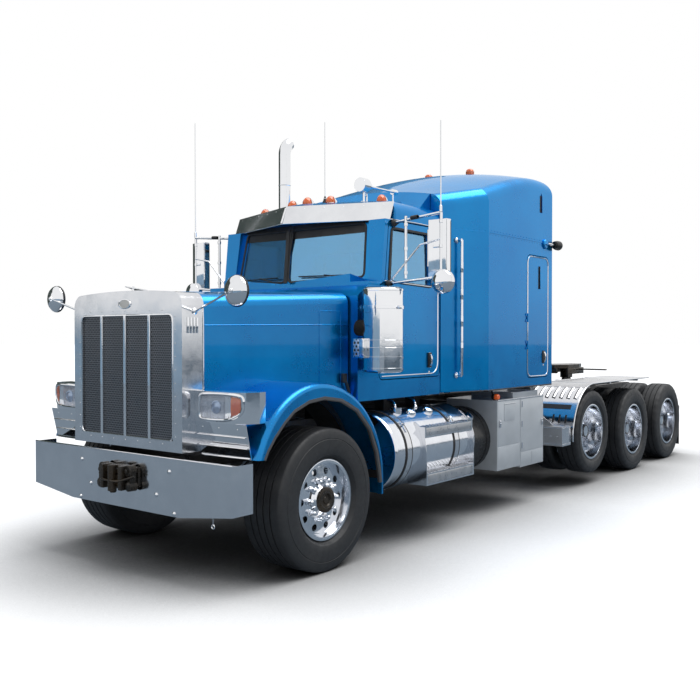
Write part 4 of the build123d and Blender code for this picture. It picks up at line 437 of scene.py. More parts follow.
def make_finishes(paint):
    """Every finish of the truck, by name."""
    FINISHES.update({
        "blue_paint": finish(
            "blue paint", tuple(paint.body), tuple(paint.body_deep), 0.30, 0.05, patch=0.9, grain=0.05,
            depth=0.0002, strength=0.1, Metallic=0.85, Specular_Tint=(0.30, 0.72, 1.0, 1.0), Coat_Weight=0.5,
            Coat_Roughness=0.03,
        ),
        "box_paint": finish(
            "box paint", tuple(paint.boxes), tuple(part * 0.8 for part in paint.boxes), 0.42, 0.1,
            kind="brushed", grain=0.01, depth=0.0002, Metallic=0.35, Coat_Weight=0.3,
        ),
        "black_paint": finish(
            "black paint", (0.008, 0.008, 0.009), (0.012, 0.012, 0.012), 0.24, 0.08, Specular_IOR_Level=0.35,
        ),
        "black_steel": finish(
            "black chassis paint", (0.016, 0.016, 0.018), (0.035, 0.031, 0.027), 0.5, 0.15, patch=0.12,
            grain=0.012, depth=0.0008,
        ),
        "greased_steel": finish(
            "greased steel", (0.012, 0.012, 0.012), (0.05, 0.035, 0.02), 0.32, 0.18, patch=0.15,
            grain=0.02, depth=0.001, Metallic=0.3,
        ),
        "cast_metal": finish(
            "cast metal", (0.13, 0.13, 0.14), (0.07, 0.068, 0.066), 0.62, 0.12, patch=0.1, grain=0.006,
            depth=0.0012, Metallic=0.4,
        ),
        "chrome": finish(
            "chrome", (0.86, 0.87, 0.89), (0.78, 0.79, 0.81), 0.06, 0.035, patch=0.6, grain=0.09,
            depth=0.0009, strength=0.25, Metallic=1.0,
        ),
        "stainless": finish(
            "stainless sheet", (0.80, 0.81, 0.83), (0.66, 0.67, 0.70), 0.14, 0.06, patch=0.5,
            kind="brushed", grain=0.003, depth=0.0002, strength=0.2, Metallic=1.0,
        ),
        "polished_alloy": finish(
            "polished alloy", (0.86, 0.88, 0.92), (0.74, 0.76, 0.80), 0.13, 0.06, patch=0.2, grain=0.08,
            depth=0.0002, strength=0.12, Metallic=1.0,
        ),
        "tread_plate": finish(
            "tread plate", (0.62, 0.63, 0.65), (0.46, 0.46, 0.47), 0.32, 0.1, patch=0.25, kind="tread",
            grain=0.035, depth=0.002, strength=0.8, Metallic=0.95,
        ),
        "grille_mesh": perforated(
            "perforated grille", (0.20, 0.215, 0.24), (0.004, 0.005, 0.006), 0.0190, 0.37,
        ),
        "intake_mesh": perforated("perforated intake", (0.80, 0.81, 0.84), (0.01, 0.01, 0.012), 0.034, 0.30),
        "tyre": finish(
            "tyre rubber", (0.010, 0.012, 0.015), (0.019, 0.020, 0.022), 0.56, 0.1, patch=0.2,
            grain=0.003, depth=0.0004,
        ),
        "seal_rubber": finish(
            "seal rubber", (0.012, 0.012, 0.013), (0.02, 0.02, 0.021), 0.5, 0.1, grain=0.002,
        ),
        "grey_rubber": finish(
            "grey rubber", (0.075, 0.078, 0.085), (0.05, 0.052, 0.056), 0.55, 0.1, grain=0.003,
        ),
        "flap_rubber": finish(
            "flap rubber", (0.018, 0.018, 0.019), (0.04, 0.037, 0.034), 0.65, 0.12, kind="ribs", grain=0.02,
            depth=0.0006,
        ),
        "clear_lens": finish(
            "clear lens", (0.94, 0.96, 1.0), (0.90, 0.93, 0.98), 0.03, 0.02, kind="ribs", grain=0.022,
            depth=0.0008, strength=0.35, Transmission_Weight=0.9, IOR=1.25, Coat_Weight=0.3,
        ),
        "lamp_reflector": finish(
            "lamp reflector", (0.80, 0.84, 0.90), (0.55, 0.60, 0.68), 0.16, 0.06, patch=0.06, kind="ribs",
            grain=0.012, depth=0.002, strength=0.7, Metallic=0.9,
        ),
        "bulb_glass": finish(
            "bulb glass", (0.30, 0.42, 0.60), (0.45, 0.55, 0.70), 0.06, 0.03, grain=0.01, Metallic=0.6,
            Coat_Weight=1.0,
        ),
        "amber_lens": finish(
            "amber lens", tuple(paint.amber), (0.70, 0.09, 0.005), 0.16, 0.05, patch=0.05, kind="ribs",
            grain=0.008, depth=0.0006, Coat_Weight=0.8, Subsurface_Weight=0.25,
        ),
        "red_lens": finish(
            "red lens", (0.55, 0.01, 0.008), (0.32, 0.006, 0.005), 0.16, 0.05, patch=0.05, kind="ribs",
            grain=0.008, depth=0.0006, Coat_Weight=0.8,
        ),
        "tinted_glass": finish(
            "tinted glass", (0.27, 0.60, 0.88), (0.24, 0.56, 0.84), 0.02, 0.012, patch=1.2, grain=0.8,
            depth=0.0004, strength=0.15, Metallic=0.5, Transmission_Weight=0.9, IOR=1.4,
        ),
        "mirror_glass": finish(
            "mirror glass", (0.90, 0.92, 0.93), (0.88, 0.90, 0.91), 0.02, 0.01, grain=0.4, depth=0.0001,
            strength=0.1, Metallic=1.0,
        ),
        "seat_fabric": finish(
            "seat fabric", (0.13, 0.125, 0.12), (0.085, 0.08, 0.078), 0.85, 0.08, patch=0.08, kind="weave",
            grain=0.006, depth=0.0012, Sheen_Weight=0.4,
        ),
        "mattress_cloth": finish(
            "mattress cloth", (0.26, 0.27, 0.30), (0.20, 0.21, 0.24), 0.85, 0.06, patch=0.15, kind="weave",
            grain=0.008, depth=0.001, Sheen_Weight=0.3,
        ),
        "cab_trim": finish(
            "cab trim", (0.055, 0.056, 0.06), (0.04, 0.04, 0.043), 0.55, 0.1, patch=0.2, grain=0.003,
            depth=0.0005,
        ),
        "gauge_face": finish(
            "gauge face", (0.02, 0.02, 0.022), (0.30, 0.30, 0.28), 0.3, 0.05, patch=0.02, sharp=True,
        ),
        "bare_plate": finish(
            "bare plate", (0.62, 0.62, 0.60), (0.54, 0.54, 0.52), 0.4, 0.08, patch=0.2, Metallic=0.2,
        ),
    })


FINISH_OF_SLOT = {
    "blue_paint": "blue_paint", "grey_paint": "box_paint", "black_paint": "black_paint",
    "black_steel": "black_steel", "cast_metal": "cast_metal", "chrome": "chrome",
    "polished_alloy": "polished_alloy", "screen_mesh": "grille_mesh", "tyre": "tyre",
    "flap_rubber": "flap_rubber", "lamp_lens": "clear_lens", "amber_lens": "amber_lens",
    "tinted_glass": "tinted_glass", "seat_fabric": "seat_fabric", "cab_trim": "cab_trim",
}
FINISH_OF_NODE = {             # nodes whose finish differs from their slot's first one
    "bumper": "stainless", "sun_visor": "stainless", "grille_shell": "stainless", "deck": "tread_plate",
    "rear_fenders": "stainless", "side_steps": "stainless", "tank_steps": "stainless",
    "fifth_plate": "greased_steel", "fifth_base": "greased_steel", "tow_hitch": "greased_steel",
}


class TRUCK_OT_finishes(bpy.types.Operator):
    """Gives every solid of the truck its finish"""
    bl_idname = "truck.finishes"
    bl_label = "Finishes"

    def execute(self, context):
        make_finishes(context.scene.truck_paint)
        for row in frame["record"]["subparts"]:
            solid = NODES[row["node"]]
            key = FINISH_OF_NODE.get(row["node"], FINISH_OF_SLOT[row["material_slot"]])
            solid.data.materials.clear()
            solid.data.materials.append(FINISHES[key])
        return {"FINISHED"}


# ---- wheels ------------------------------------------------------------------------------------
PLAIN, WAVY, SHOULDER = range(3)     # how a tyre's surface runs round the wheel


def treaded_tyre(shape, centre, radius, half, bead, flange, grooves, wheels, blocks):
    """Adds a tyre round the x axis; grooves lists their middles on one half, blocks cuts the shoulders."""
    depth = wheels.groove

    def crown(across):
        return radius - 0.006 * (across / half) ** 2

    side = [
        (bead, flange - 0.0122, PLAIN), (bead + 0.0005, flange + 0.006, PLAIN),
        (bead + 0.014, flange + 0.015, PLAIN),
        (half - 0.014, flange + 0.030, PLAIN), (half - 0.008, flange + 0.034, PLAIN),
        (half - 0.006, flange + 0.038, PLAIN),
        (half - 0.002, flange + 0.075, PLAIN), (half, flange + 0.10, PLAIN),
        (half - 0.001, radius - 0.085, PLAIN),
        (half - 0.0045, radius - 0.080, PLAIN), (half - 0.002, radius - 0.076, PLAIN),
        (half - 0.004, radius - 0.050, PLAIN),
        (half - 0.010, radius - 0.028, SHOULDER), (half - 0.015, radius - 0.016, SHOULDER),
        (half - 0.026, radius - 0.0065, SHOULDER),
        (half - 0.034, crown(half - 0.034), SHOULDER),
    ]
    for middle in sorted(grooves, reverse=True):
        for offset, drop, kind in (
            (0.006, 0, WAVY), (0.004, depth, PLAIN), (-0.004, depth, PLAIN), (-0.006, 0, WAVY),
        ):
            across = middle + offset
            if across > 0:
                side.append((across, crown(across) - drop, kind))
    profile = side + [(-across, height, kind) for across, height, kind in reversed(side)]
    rings = []
    for step in range(wheels.steps):
        angle = 2 * pi * (step + 0.5) / wheels.steps
        ring = []
        for across, height, kind in profile:
            if kind == WAVY:
                across += 0.0013 * (-1) ** step
            if kind == SHOULDER and blocks and step % 4 == 0:
                height -= 0.007
            ring.append(shape.mesh.verts.new(
                (centre[0] + across, centre[1] + height * cos(angle), centre[2] + height * sin(angle)),
            ))
        rings.append(ring)
    count = len(profile)
    for here, there in zip(rings, rings[1:] + rings[:1]):
        for index in range(count):
            after = (index + 1) % count
            shape.mesh.faces.new((here[index], here[after], there[after], there[index]))


class TRUCK_OT_tyres(bpy.types.Operator):
    """Grooved tyres on all wheels"""
    bl_idname = "truck.tyres"
    bl_label = "Tyres"

    def execute(self, context):
        wheels = context.scene.truck_wheels
        for side, sign in SIDES:
            shape = Shape()
            treaded_tyre(
                shape, (1.0, 0.0, FRONT_RADIUS), FRONT_RADIUS, half=0.1925, bead=0.146, flange=FRONT_FLANGE,
                grooves=(0.094, 0.032), wheels=wheels, blocks=False,
            )
            shape.done(
                f"front_tyre_{side}", f"wheel_front_{side}", "tyre", "tyre", sign,
                (f"tyre_front_{side}",), 28.0,
            )
            for name, station, radius, height in REAR_AXLES:
                shape = Shape()
                for middle in (1.081, 0.738):
                    treaded_tyre(
                        shape, (middle, station, height), radius, half=0.140, bead=0.105, flange=REAR_FLANGE,
                        grooves=(0.068, 0.0), wheels=wheels, blocks=True,
                    )
                shape.done(
                    f"rear_tyres_{name}_{side}", f"wheels_{name}_{side}", "tyre", "tyre", sign,
                    (f"tyres_{name}_{side}",), 28.0,
                )
        return {"FINISHED"}


class TRUCK_OT_wheel_fittings(bpy.types.Operator):
    """Nuts, hub caps, valve stems and rim beads"""
    bl_idname = "truck.wheel_fittings"
    bl_label = "Wheel fittings"

    def execute(self, context):
        nut = context.scene.truck_wheels.nut
        # name, distance behind the front axle, height, disc's face, nuts' reach, flange's radius, rim's edge
        rows = [("front", 0.0, FRONT_RADIUS, 1.112, 0.049, FRONT_FLANGE, 1.160)]
        rows += [(name, station, height, 0.9235, 0.050, REAR_FLANGE, 1.199)
                 for name, station, _, height in REAR_AXLES]
        for side, sign in SIDES:
            for name, station, height, face, reach, flange, lip in rows:
                body = f"wheel_front_{side}" if name == "front" else f"wheels_{name}_{side}"
                bright = Shape()
                for turn in range(10):
                    angle = 2 * pi * turn / 10
                    at = (face, station + LUG_CIRCLE * cos(angle), height + LUG_CIRCLE * sin(angle))
                    bright.turned(((0, nut * 1.45), (0.006, nut * 1.4), (0.008, nut)), at, ACROSS, 16)
                    bright.turned(
                        ((0.006, nut), (reach - 0.012, nut * 0.96), (reach - 0.006, nut * 0.8),
                         (reach, nut * 0.45), (reach + 0.001, 0)), at, ACROSS, 6,
                    )
                bright.turned(
                    ((-0.006, flange - 0.018), (0.0005, flange - 0.014), (0.001, flange - 0.006),
                     (-0.002, flange), (-0.008, flange - 0.002)), (lip, station, height), ACROSS, 96,
                )
                bright.tube(
                    ((face + 0.01, station + 0.03, height + 0.235),
                     (face + 0.03, station + 0.03, height + 0.235),
                     (face + 0.055, station + 0.035, height + 0.222)), 0.004, 0.01, 8,
                )
                bright.done(
                    f"wheel_bright_{name}_{side}", body, "polished_alloy", "polished_alloy", sign, (), 40.0,
                )
                dark = Shape()
                hub, end = (0.0602, 1.170) if name == "front" else (0.0755, 1.120)
                dark.turned(
                    ((-0.045, hub - 0.001), (0.001, hub - 0.001), (0.0015, hub - 0.012), (-0.012, hub - 0.02),
                     (-0.012, 0.030), (-0.004, 0.024), (-0.003, 0)), (end, station, height), ACROSS, 32,
                )
                if name == "front":
                    dark.turned(
                        ((-0.020, 0.096), (-0.002, 0.092), (0.001, 0.082), (0.0012, 0.062), (0, 0.0605)),
                        (end, station, height),
                        ACROSS, 32,
                    )
                for turn in range(8):
                    angle = 2 * pi * (turn + 0.5) / 8
                    ring = 0.070 if name == "front" else 0.069
                    dark.bolt(
                        (end + 0.0005, station + ring * cos(angle), height + ring * sin(angle)), ACROSS,
                        0.005, 0.003,
                    )
                dark.done(f"hub_cap_{name}_{side}", body, "black_steel", "greased_steel", sign)
        return {"FINISHED"}


# ---- the front ---------------------------------------------------------------------------------
def lamp_face(x):
    """How far forward a headlight's face stands, by distance from the truck's middle."""
    return -0.795 + max(0.0, x - 1.010) * 0.422 + max(0.0, x - 1.100) * 2.2


LAMP_COLUMNS = (               # x, lowest and highest edge of a headlight's clear cover
    (0.690, 1.190, 1.300), (0.700, 1.176, 1.318), (0.725, 1.168, 1.326), (0.80, 1.166, 1.330),
    (0.87, 1.167, 1.332), (0.94, 1.170, 1.332), (1.000, 1.180, 1.330), (1.040, 1.196, 1.326),
    (1.068, 1.218, 1.318), (1.082, 1.245, 1.300),
)


class TRUCK_OT_headlights(bpy.types.Operator):
    """Headlight covers, reflectors, amber ends, bezels and the trim below them"""
    bl_idname = "truck.headlights"
    bl_label = "Headlights"

    def execute(self, context):
        cover = Shape()
        rows = []
        for x, low, high in LAMP_COLUMNS:
            edge = 0.010 if x < 0.70 or x > 1.075 else 0.0
            row = []
            for step in range(9):
                part = step / 8
                bulge = 0.012 * (1 - abs(2 * part - 1) ** 4) - edge
                row.append((x, lamp_face(x) - 0.002 - max(bulge, 0), low + (high - low) * part))
            rows.append(row)
        cover.surface(rows)
        cover.both_sides().done(
            "headlight_covers", "hood", "lamp_lens", "clear_lens", 1, ("headlight_lenses",),
        )

        inside = Shape()
        inside.surface([[
            (x, lamp_face(x) - 0.0015, low + (high - low) * step / 6) for step in range(7)
        ] for x, low, high in LAMP_COLUMNS if x < 0.99])
        inside.both_sides().done("headlight_reflectors", "hood", "chrome", "lamp_reflector")

        bulbs = Shape()
        bulbs.turned(
            ((0.0, 0.047), (0.006, 0.046), (0.007, 0.038), (0.003, 0.034), (0.008, 0.024), (0.010, 0)),
            (0.855, -0.796, 1.248), AHEAD, 28,
        )
        bulbs.both_sides().done("headlight_bulbs", "hood", "lamp_lens", "bulb_glass")

        amber = Shape()
        amber.surface([[
            (x, lamp_face(x) - 0.003 - 0.005 * (1 - abs(step / 3 - 1) ** 2),
             low + 0.008 + (high - low - 0.016) * step / 6)
            for step in range(7)
        ] for x, low, high in ((1.000, 1.180, 1.330),) + LAMP_COLUMNS[7:9]])
        amber.both_sides().done("headlight_ambers", "hood", "amber_lens")

        trim = Shape()
        top = [(x, lamp_face(x) - 0.006, high + 0.008) for x, _, high in LAMP_COLUMNS]
        low = [(x, lamp_face(x) - 0.006, low - 0.008) for x, low, _ in LAMP_COLUMNS]
        trim.tube(top + low[::-1], 0.011, 0.02, 10, closed=True)
        trim.tube(
            ((0.640, -0.742, 0.904), (0.80, -0.742, 0.904), (1.00, -0.740, 0.905), (1.118, -0.738, 0.907)),
            0.008, 0.02, 8,
        )
        for lift in (0.075, 0.150):
            y = -0.738 - lift * 0.26
            trim.tube(((0.640, y, 0.900 + lift), (1.110, y, 0.900 + lift)), 0.004, 0, 6)
        for x in (0.70, 0.86, 1.04):
            trim.rivet((x, -0.781, 1.105), (0, -1, 0.25), context.scene.truck_trim.rivet)
        trim.both_sides().done("headlight_bezels", "hood", "chrome")
        return {"FINISHED"}


class TRUCK_OT_grille(bpy.types.Operator):
    """Rivets, blank oval plate, ornament, bar faces and edge seam of the grille"""
    bl_idname = "truck.grille"
    bl_label = "Grille"

    def execute(self, context):
        face = -0.9055
        rivet = context.scene.truck_trim.rivet
        trim = Shape()
        for count in range(10):
            for x in (0.557, -0.557):
                trim.rivet((x, face, 1.03 + 0.093 * count), AHEAD, rivet * 0.9)
        for count in range(7):
            x = -0.42 + 0.14 * count
            trim.rivet((x, face, 1.915), AHEAD, rivet * 0.9)
            trim.rivet((x, face, 0.972), AHEAD, rivet * 0.9)
        for x in (-0.278, 0.0, 0.278):
            trim.strip(((x, -0.905, 1.002), (x, -0.905, 1.884)), 0.0125, 0.008, AHEAD)
        corners = ((-0.53, 1.0), (0.53, 1.0), (0.53, 1.883), (-0.53, 1.883))
        trim.tube([(x, -0.905, z) for x, z in corners], 0.006, 0.045, 8, closed=True)
        trim.tube(
            [(x, -0.712, z) for x, z in ((0.632, 0.93), (0.632, 1.94), (0.53, 2.045), (-0.53, 2.045),
                                         (-0.632, 1.94), (-0.632, 0.93))], 0.004, 0.09, 6,
        )
        trim.turned(
            ((0.0, 0.037), (0.005, 0.036), (0.0055, 0.031), (0.003, 0.029)), (0, face, 1.966), AHEAD, 40, 2.0,
        )
        for count in range(4):
            y = -0.86 + 0.028 * count
            for sign in (1, -1):
                trim.block((sign * 0.6285, sign * 0.634), (y, y + 0.014), (1.752, 1.862))
        wing = (
            (0, -0.905), (0.014, -0.86), (0.060, -0.745), (0.030, -0.748), (0.012, -0.715), (0, -0.735),
            (-0.012, -0.715), (-0.030, -0.748), (-0.060, -0.745), (-0.014, -0.86),
        )
        trim.plate([(x, y, 2.090 - 0.15 * (y + 0.905)) for x, y in wing], (0, 0, 0.009), 0.003)
        trim.turned(((0, 0.020), (0.006, 0.018), (0.012, 0.009), (0.045, 0.008)), (0, -0.83, 2.052), UP, 16)
        trim.done("grille_trim", "hood", "chrome")
        plate = Shape()
        plate.turned(((0.002, 0.030), (0.0045, 0.028), (0.005, 0)), (0, face, 1.966), AHEAD, 40, 2.05)
        plate.done("grille_blank_plate", "hood", "chrome", "bare_plate")
        return {"FINISHED"}


class TRUCK_OT_bumper(bpy.types.Operator):
    """Bolts on the bumper, a hanging ring, and the tow hitch's castings"""
    bl_idname = "truck.bumper"
    bl_label = "Bumper and hitch"

    def execute(self, context):
        trim = Shape()
        for x, z in (
            (-0.503, 0.787), (0.52, 0.787), (-0.39, 0.614), (0.38, 0.612), (-0.52, 0.500), (0.57, 0.500),
        ):
            trim.turned(((0, 0.017), (0.004, 0.016), (0.009, 0.010), (0.010, 0)), (x, -0.9302, z), AHEAD, 16)
        trim.tube(((0.93, -0.90, 0.53), (0.93, -0.90, 0.47)), 0.0025, 0, 6)
        trim.tube(
            [
                (0.93 + 0.014 * sin(2 * pi * k / 12), -0.90, 0.456 + 0.014 * cos(2 * pi * k / 12))
                for k in range(12)
            ],
            0.004, 0, 8, closed=True,
        )
        trim.tube(((-1.142, -0.925, 0.882), (1.142, -0.925, 0.882)), 0.005, 0, 8)
        trim.done("bumper_bolts", "chassis", "chrome")
        hitch = Shape()
        for sign in (1, -1):
            hitch.turned(
                ((0, 0.042), (0.050, 0.042), (0.056, 0.034), (0.057, 0)), (sign * 0.150, -0.95, 0.765), AHEAD,
                20,
            )
            hitch.turned(
                ((0, 0.036), (0.060, 0.034), (0.066, 0.02), (0.067, 0)), (sign * 0.165, -0.95, 0.655), AHEAD,
                20,
            )
            hitch.bolt((sign * 0.150, -1.006, 0.765), AHEAD, 0.018, 0.014)
            hitch.block((sign * 0.085, sign * 0.125), (-1.040, -0.94), (0.625, 0.800), 0.008)
        hitch.turned(
            ((-0.105, 0.020), (-0.095, 0.026), (0.080, 0.026), (0.083, 0.034), (0.095, 0.034), (0.100, 0.02),
             (0.100, 0)),
            (0.0, -1.015, 0.705), UP, 20,
        )
        hitch.tube(
            ((-0.20, -0.985, 0.72), (-0.10, -1.045, 0.69), (0.10, -1.045, 0.69), (0.205, -0.985, 0.73)),
            0.009, 0.05, 8,
        )
        hitch.block((-0.19, 0.19), (-0.965, -0.932), (0.640, 0.790), 0.012)
        hitch.done("hitch_castings", "chassis", "black_steel", "greased_steel")
        return {"FINISHED"}


class TRUCK_OT_fender_mirrors(bpy.types.Operator):
    """Round mirrors on arms over the front fenders"""
    bl_idname = "truck.fender_mirrors"
    bl_label = "Fender mirrors"

    def execute(self, context):
        x, y, z = 1.046, -0.790, 2.033
        bowl = Shape()
        bowl.turned(
            ((0.002, 0.106), (0.014, 0.104), (0.030, 0.090), (0.046, 0.064), (0.054, 0.036), (0.056, 0.020),
             (0.064, 0.018), (0.066, 0)), (x, y, z), AHEAD, 48,
        )
        bowl.tube(
            ((0.634, -0.790, 1.905), (0.66, -0.792, 1.912), (1.020, -0.838, 2.024), (x, -0.850, z)), 0.0075,
            0.02, 10,
        )
        bowl.turned(
            ((0, 0.024), (0.006, 0.023), (0.016, 0.012), (0.020, 0)), (0.6285, -0.790, 1.905), ACROSS, 20,
        )
        bowl.bolt((x, -0.855, z), AHEAD, 0.010, 0.008)
        bowl.both_sides().done("fender_mirror_bowls", "hood", "chrome", "chrome", 1, ("fender_mirrors",))
        rim = Shape()
        rim.turned(
            ((-0.010, 0.100), (-0.014, 0.104), (-0.008, 0.108), (0.004, 0.108), (0.008, 0.105),
             (0.002, 0.102)),
            (x, y, z), AHEAD, 48,
        )
        rim.both_sides().done("fender_mirror_rims", "hood", "black_paint", "seal_rubber")
        glass = Shape()
        glass.turned(((-0.0085, 0.102), (-0.011, 0.06), (-0.012, 0)), (x, y, z), AHEAD, 48)
        glass.both_sides().done("fender_mirror_glasses", "hood", "chrome", "mirror_glass")
        return {"FINISHED"}


ARCH_LIP = (                   # edge of the front fender's arch: distance behind the axle, height
    (-0.671, 0.900), (-0.640, 0.955), (-0.567, 1.045), (-0.470, 1.138), (-0.375, 1.208), (-0.215, 1.266),
    (-0.044, 1.283), (0.153, 1.255), (0.348, 1.167), (0.506, 1.016), (0.600, 0.824), (0.638, 0.669),
    (0.653, 0.575),
)


def centre_of_arc(first, middle, last):
    """Centre of the circle through three flat points."""
    p, q = middle - first, last - first
    turn = 2 * (p.x * q.y - p.y * q.x)
    return first + Vector((
        (q.y * p.length_squared - p.y * q.length_squared) / turn,
        (p.x * q.length_squared - q.x * p.length_squared) / turn,
    ))


def arc_through(first, middle, last, inset, count):
    """Points (y, z) along the arc through three points, drawn in towards its centre."""
    a, b, c = (Vector(point) for point in (first, middle, last))
    centre = centre_of_arc(a, b, c)
    radius = (a - centre).length - inset
    start, end = atan2(a.y - centre.y, a.x - centre.x), atan2(c.y - centre.y, c.x - centre.x)
    start += 2 * pi if start < 0 else 0
    return [
        (centre.x + radius * cos(start + (end - start) * step / count),
         centre.y + radius * sin(start + (end - start) * step / count)) for step in range(count + 1)
    ]


class TRUCK_OT_hood_trim(bpy.types.Operator):
    """Fender lips and liners, latches, creases, top hinge strip and panel outline of the hood"""
    bl_idname = "truck.hood_trim"
    bl_label = "Hood trim"

    def execute(self, context):
        lip = Shape()
        lip.sweep(
            [(1.178, y, z) for y, z in ARCH_LIP],
            ((-0.014, -0.012), (0.014, -0.016), (0.018, 0.004), (0.010, 0.013), (-0.010, 0.013),
             (-0.016, 0.004)),
            up=ACROSS,
        )
        lip.both_sides().done("fender_lips", "hood", "flap_rubber", "grey_rubber")
        liner = Shape()
        arch = ((-0.668, 0.900), (-0.030, 1.285), (0.655, 0.560))
        well = ((-0.695, 0.900), (-0.090, 1.362), (0.676, 0.600))
        for low, high, curve in ((0.640, 0.8785, arch), (0.8825, 1.1485, well)):
            liner.surface([
                ((low, *a), (high, *a), (high, *b), (low, *b))
                for a, b in zip(arc_through(*curve, 0.002, 40), arc_through(*curve, 0.005, 40))
            ], closed=True)
        liner.surface([
            ((0.8815, *a), (0.8845, *a), (0.8845, *b), (0.8815, *b))
            for a, b in zip(arc_through(*well, 0.004, 40), arc_through(*arch, -0.001, 40))
        ], closed=True)
        liner.both_sides().done("fender_liners", "hood", "flap_rubber", "seal_rubber")
        latch = Shape()
        latch.tube(
            ((0.868, 0.560, 1.40), (0.885, 0.585, 1.36), (0.889, 0.62, 1.27), (0.880, 0.632, 1.20)), 0.014,
            0.03, 8,
        )
        latch.block((0.862, 0.890), (0.545, 0.600), (1.355, 1.430), 0.008)
        latch.both_sides().done("hood_latches", "hood", "flap_rubber", "seal_rubber")
        crease = Shape()

        def side_at(y):
            return 0.612 + (0.860 - 0.612) * (y + 0.705) / 1.345 + 0.001

        route = [(side_at(y), y, 1.808 + 0.012 * (y + 0.7)) for y in (-0.69, -0.3, 0.1, 0.625)]
        crease.tube(route, 0.004, 0, 6)
        for y in (0.345, 0.565):
            crease.tube(((side_at(y), y, 1.30), (side_at(y), y, 1.93)), 0.003, 0, 6)
        for z in (1.30, 1.93):
            crease.tube(((side_at(0.345), 0.345, z), (side_at(0.565), 0.565, z)), 0.003, 0, 6)
        crease.both_sides()
        crease.tube(((0, -0.68, 2.0605), (0, -0.2, 2.080), (0, 0.62, 2.1125)), 0.006, 0, 8)
        crease.done("hood_creases", "hood", "blue_paint")
        return {"FINISHED"}


# ---- the cab -----------------------------------------------------------------------------------
GLASS_FOOT = Vector((0.0, 0.830, 2.190))


def on_glass(sign, across, rise, out=0.0):
    """A point on the windshield: across and up its half, and out of its outer face."""
    level = Vector((0.770 * sign, 0.170, 0.030)).normalized()
    outward = level.cross(Vector((0.0, 0.100, 0.540))).normalized() * sign
    upward = level.cross(outward).normalized()
    if upward.z < 0:
        upward.negate()
    return GLASS_FOOT + level * across + upward * rise + outward * out


def out_of_glass(sign, reach=1.0, rise=0.2):
    """The way out of the windshield's outer face, of a given length."""
    return on_glass(sign, 0.4, rise, reach) - on_glass(sign, 0.4, rise)


class TRUCK_OT_windshield(bpy.types.Operator):
    """Rubber seals, a dark band of painted shade under the visor, middle strip and wipers of the windshield"""
    bl_idname = "truck.windshield"
    bl_label = "Windshield"

    def execute(self, context):
        half = context.scene.truck_trim.seal
        seal = Shape()
        for sign in (1, -1):
            corners = ((0.022, 0.016), (0.772, 0.016), (0.772, 0.498), (0.022, 0.498))
            route = [on_glass(sign, a, r, -0.006) for a, r in corners]
            seal.strip(route, half, 0.010, out_of_glass(sign), 0.05, closed=True)
        route = [on_glass(1, 0.0, r, 0.0) for r in (0.01, 0.50)]
        seal.strip(route, 0.020, 0.008, (0, -1, 0.2))
        seal.done("windshield_seals", "chassis", "flap_rubber", "seal_rubber")

        # A dark band over the top of the glass and over the painted header above it: painted shade under the sun
        # visor.
        shade_band = Shape()
        for sign in (1, -1):
            out = out_of_glass(sign, 0.0015)
            for low, high, depth in ((0.418, 0.491, -0.0160), (0.500, 0.542, 0.0)):
                outline = ((0.012, low), (0.790, low), (0.790, high), (0.012, high))
                shade_band.plate([on_glass(sign, a, r, depth) for a, r in outline], out)
        shade_band.done("windshield_visor_shade", "chassis", "cab_trim", "seal_rubber")

        wipers = Shape()
        for sign, foot, tip in ((1, 0.70, 0.10), (-1, 0.10, 0.66)):
            start = on_glass(sign, foot, -0.012, 0.022)
            middle = on_glass(sign, (foot + tip) / 2, 0.052, 0.030)
            wipers.tube(
                (start, on_glass(sign, foot + (tip - foot) * 0.15, 0.02, 0.030), middle), 0.006, 0.02, 8,
            )
            near = on_glass(sign, (foot + tip) / 2 + 0.26, 0.040, 0.006)
            far = on_glass(sign, (foot + tip) / 2 - 0.26, 0.060, 0.006)
            out = out_of_glass(sign, rise=0.1)
            wipers.strip((near, far), 0.004, 0.014, out)
            wipers.turned(((0, 0.020), (0.014, 0.018), (0.020, 0.008), (0.021, 0)), start, out, 16)
        wipers.done("wipers", "chassis", "black_paint", "seal_rubber")
        return {"FINISHED"}


class TRUCK_OT_doors(bpy.types.Operator):
    """Seals, beads, handles and locks on the cab's doors"""
    bl_idname = "truck.doors"
    bl_label = "Cab doors"

    def execute(self, context):
        trim = context.scene.truck_trim
        skin = 0.9455
        for side, sign in SIDES:
            body = f"door_{side}"
            bright = Shape()
            bright.tube(((skin, 0.985, 1.392), (skin, 1.862, 1.392), (skin, 1.862, 2.60)), trim.bead, 0.12, 8)
            for z in (1.452, 1.578):
                bright.block((0.946, 0.956), (1.700, 1.734), (z - 0.006, z + 0.006), 0.003)
            bright.tube(
                ((0.962, 1.717, 1.466), (0.974, 1.717, 1.486), (0.974, 1.717, 1.545), (0.962, 1.717, 1.566)),
                0.009, 0.015, 10,
            )
            bright.turned(((0, 0.012), (0.004, 0.011), (0.005, 0)), (skin, 1.715, 1.405), ACROSS, 16)
            bright.tube(((skin + 0.004, 1.02, 2.196), (skin + 0.004, 1.755, 2.176)), 0.006, 0, 8)
            bright.done(f"door_bright_{side}", body, "chrome", "chrome", sign)
            dark = Shape()
            corners = ((1.088, 2.196), (1.132, 2.652), (1.733, 2.647), (1.759, 2.174))
            dark.strip([(skin, y, z) for y, z in corners], trim.seal, 0.007, ACROSS, 0.04, closed=True)
            dark.strip(((skin - 0.02, 1.125, 2.20), (skin - 0.02, 1.158, 2.645)), 0.010, 0.012, ACROSS)
            dark.block((0.945, 0.9608), (1.692, 1.742), (1.448, 1.582), 0.006)
            dark.done(f"door_dark_{side}", body, "flap_rubber", "seal_rubber", sign)
        return {"FINISHED"}


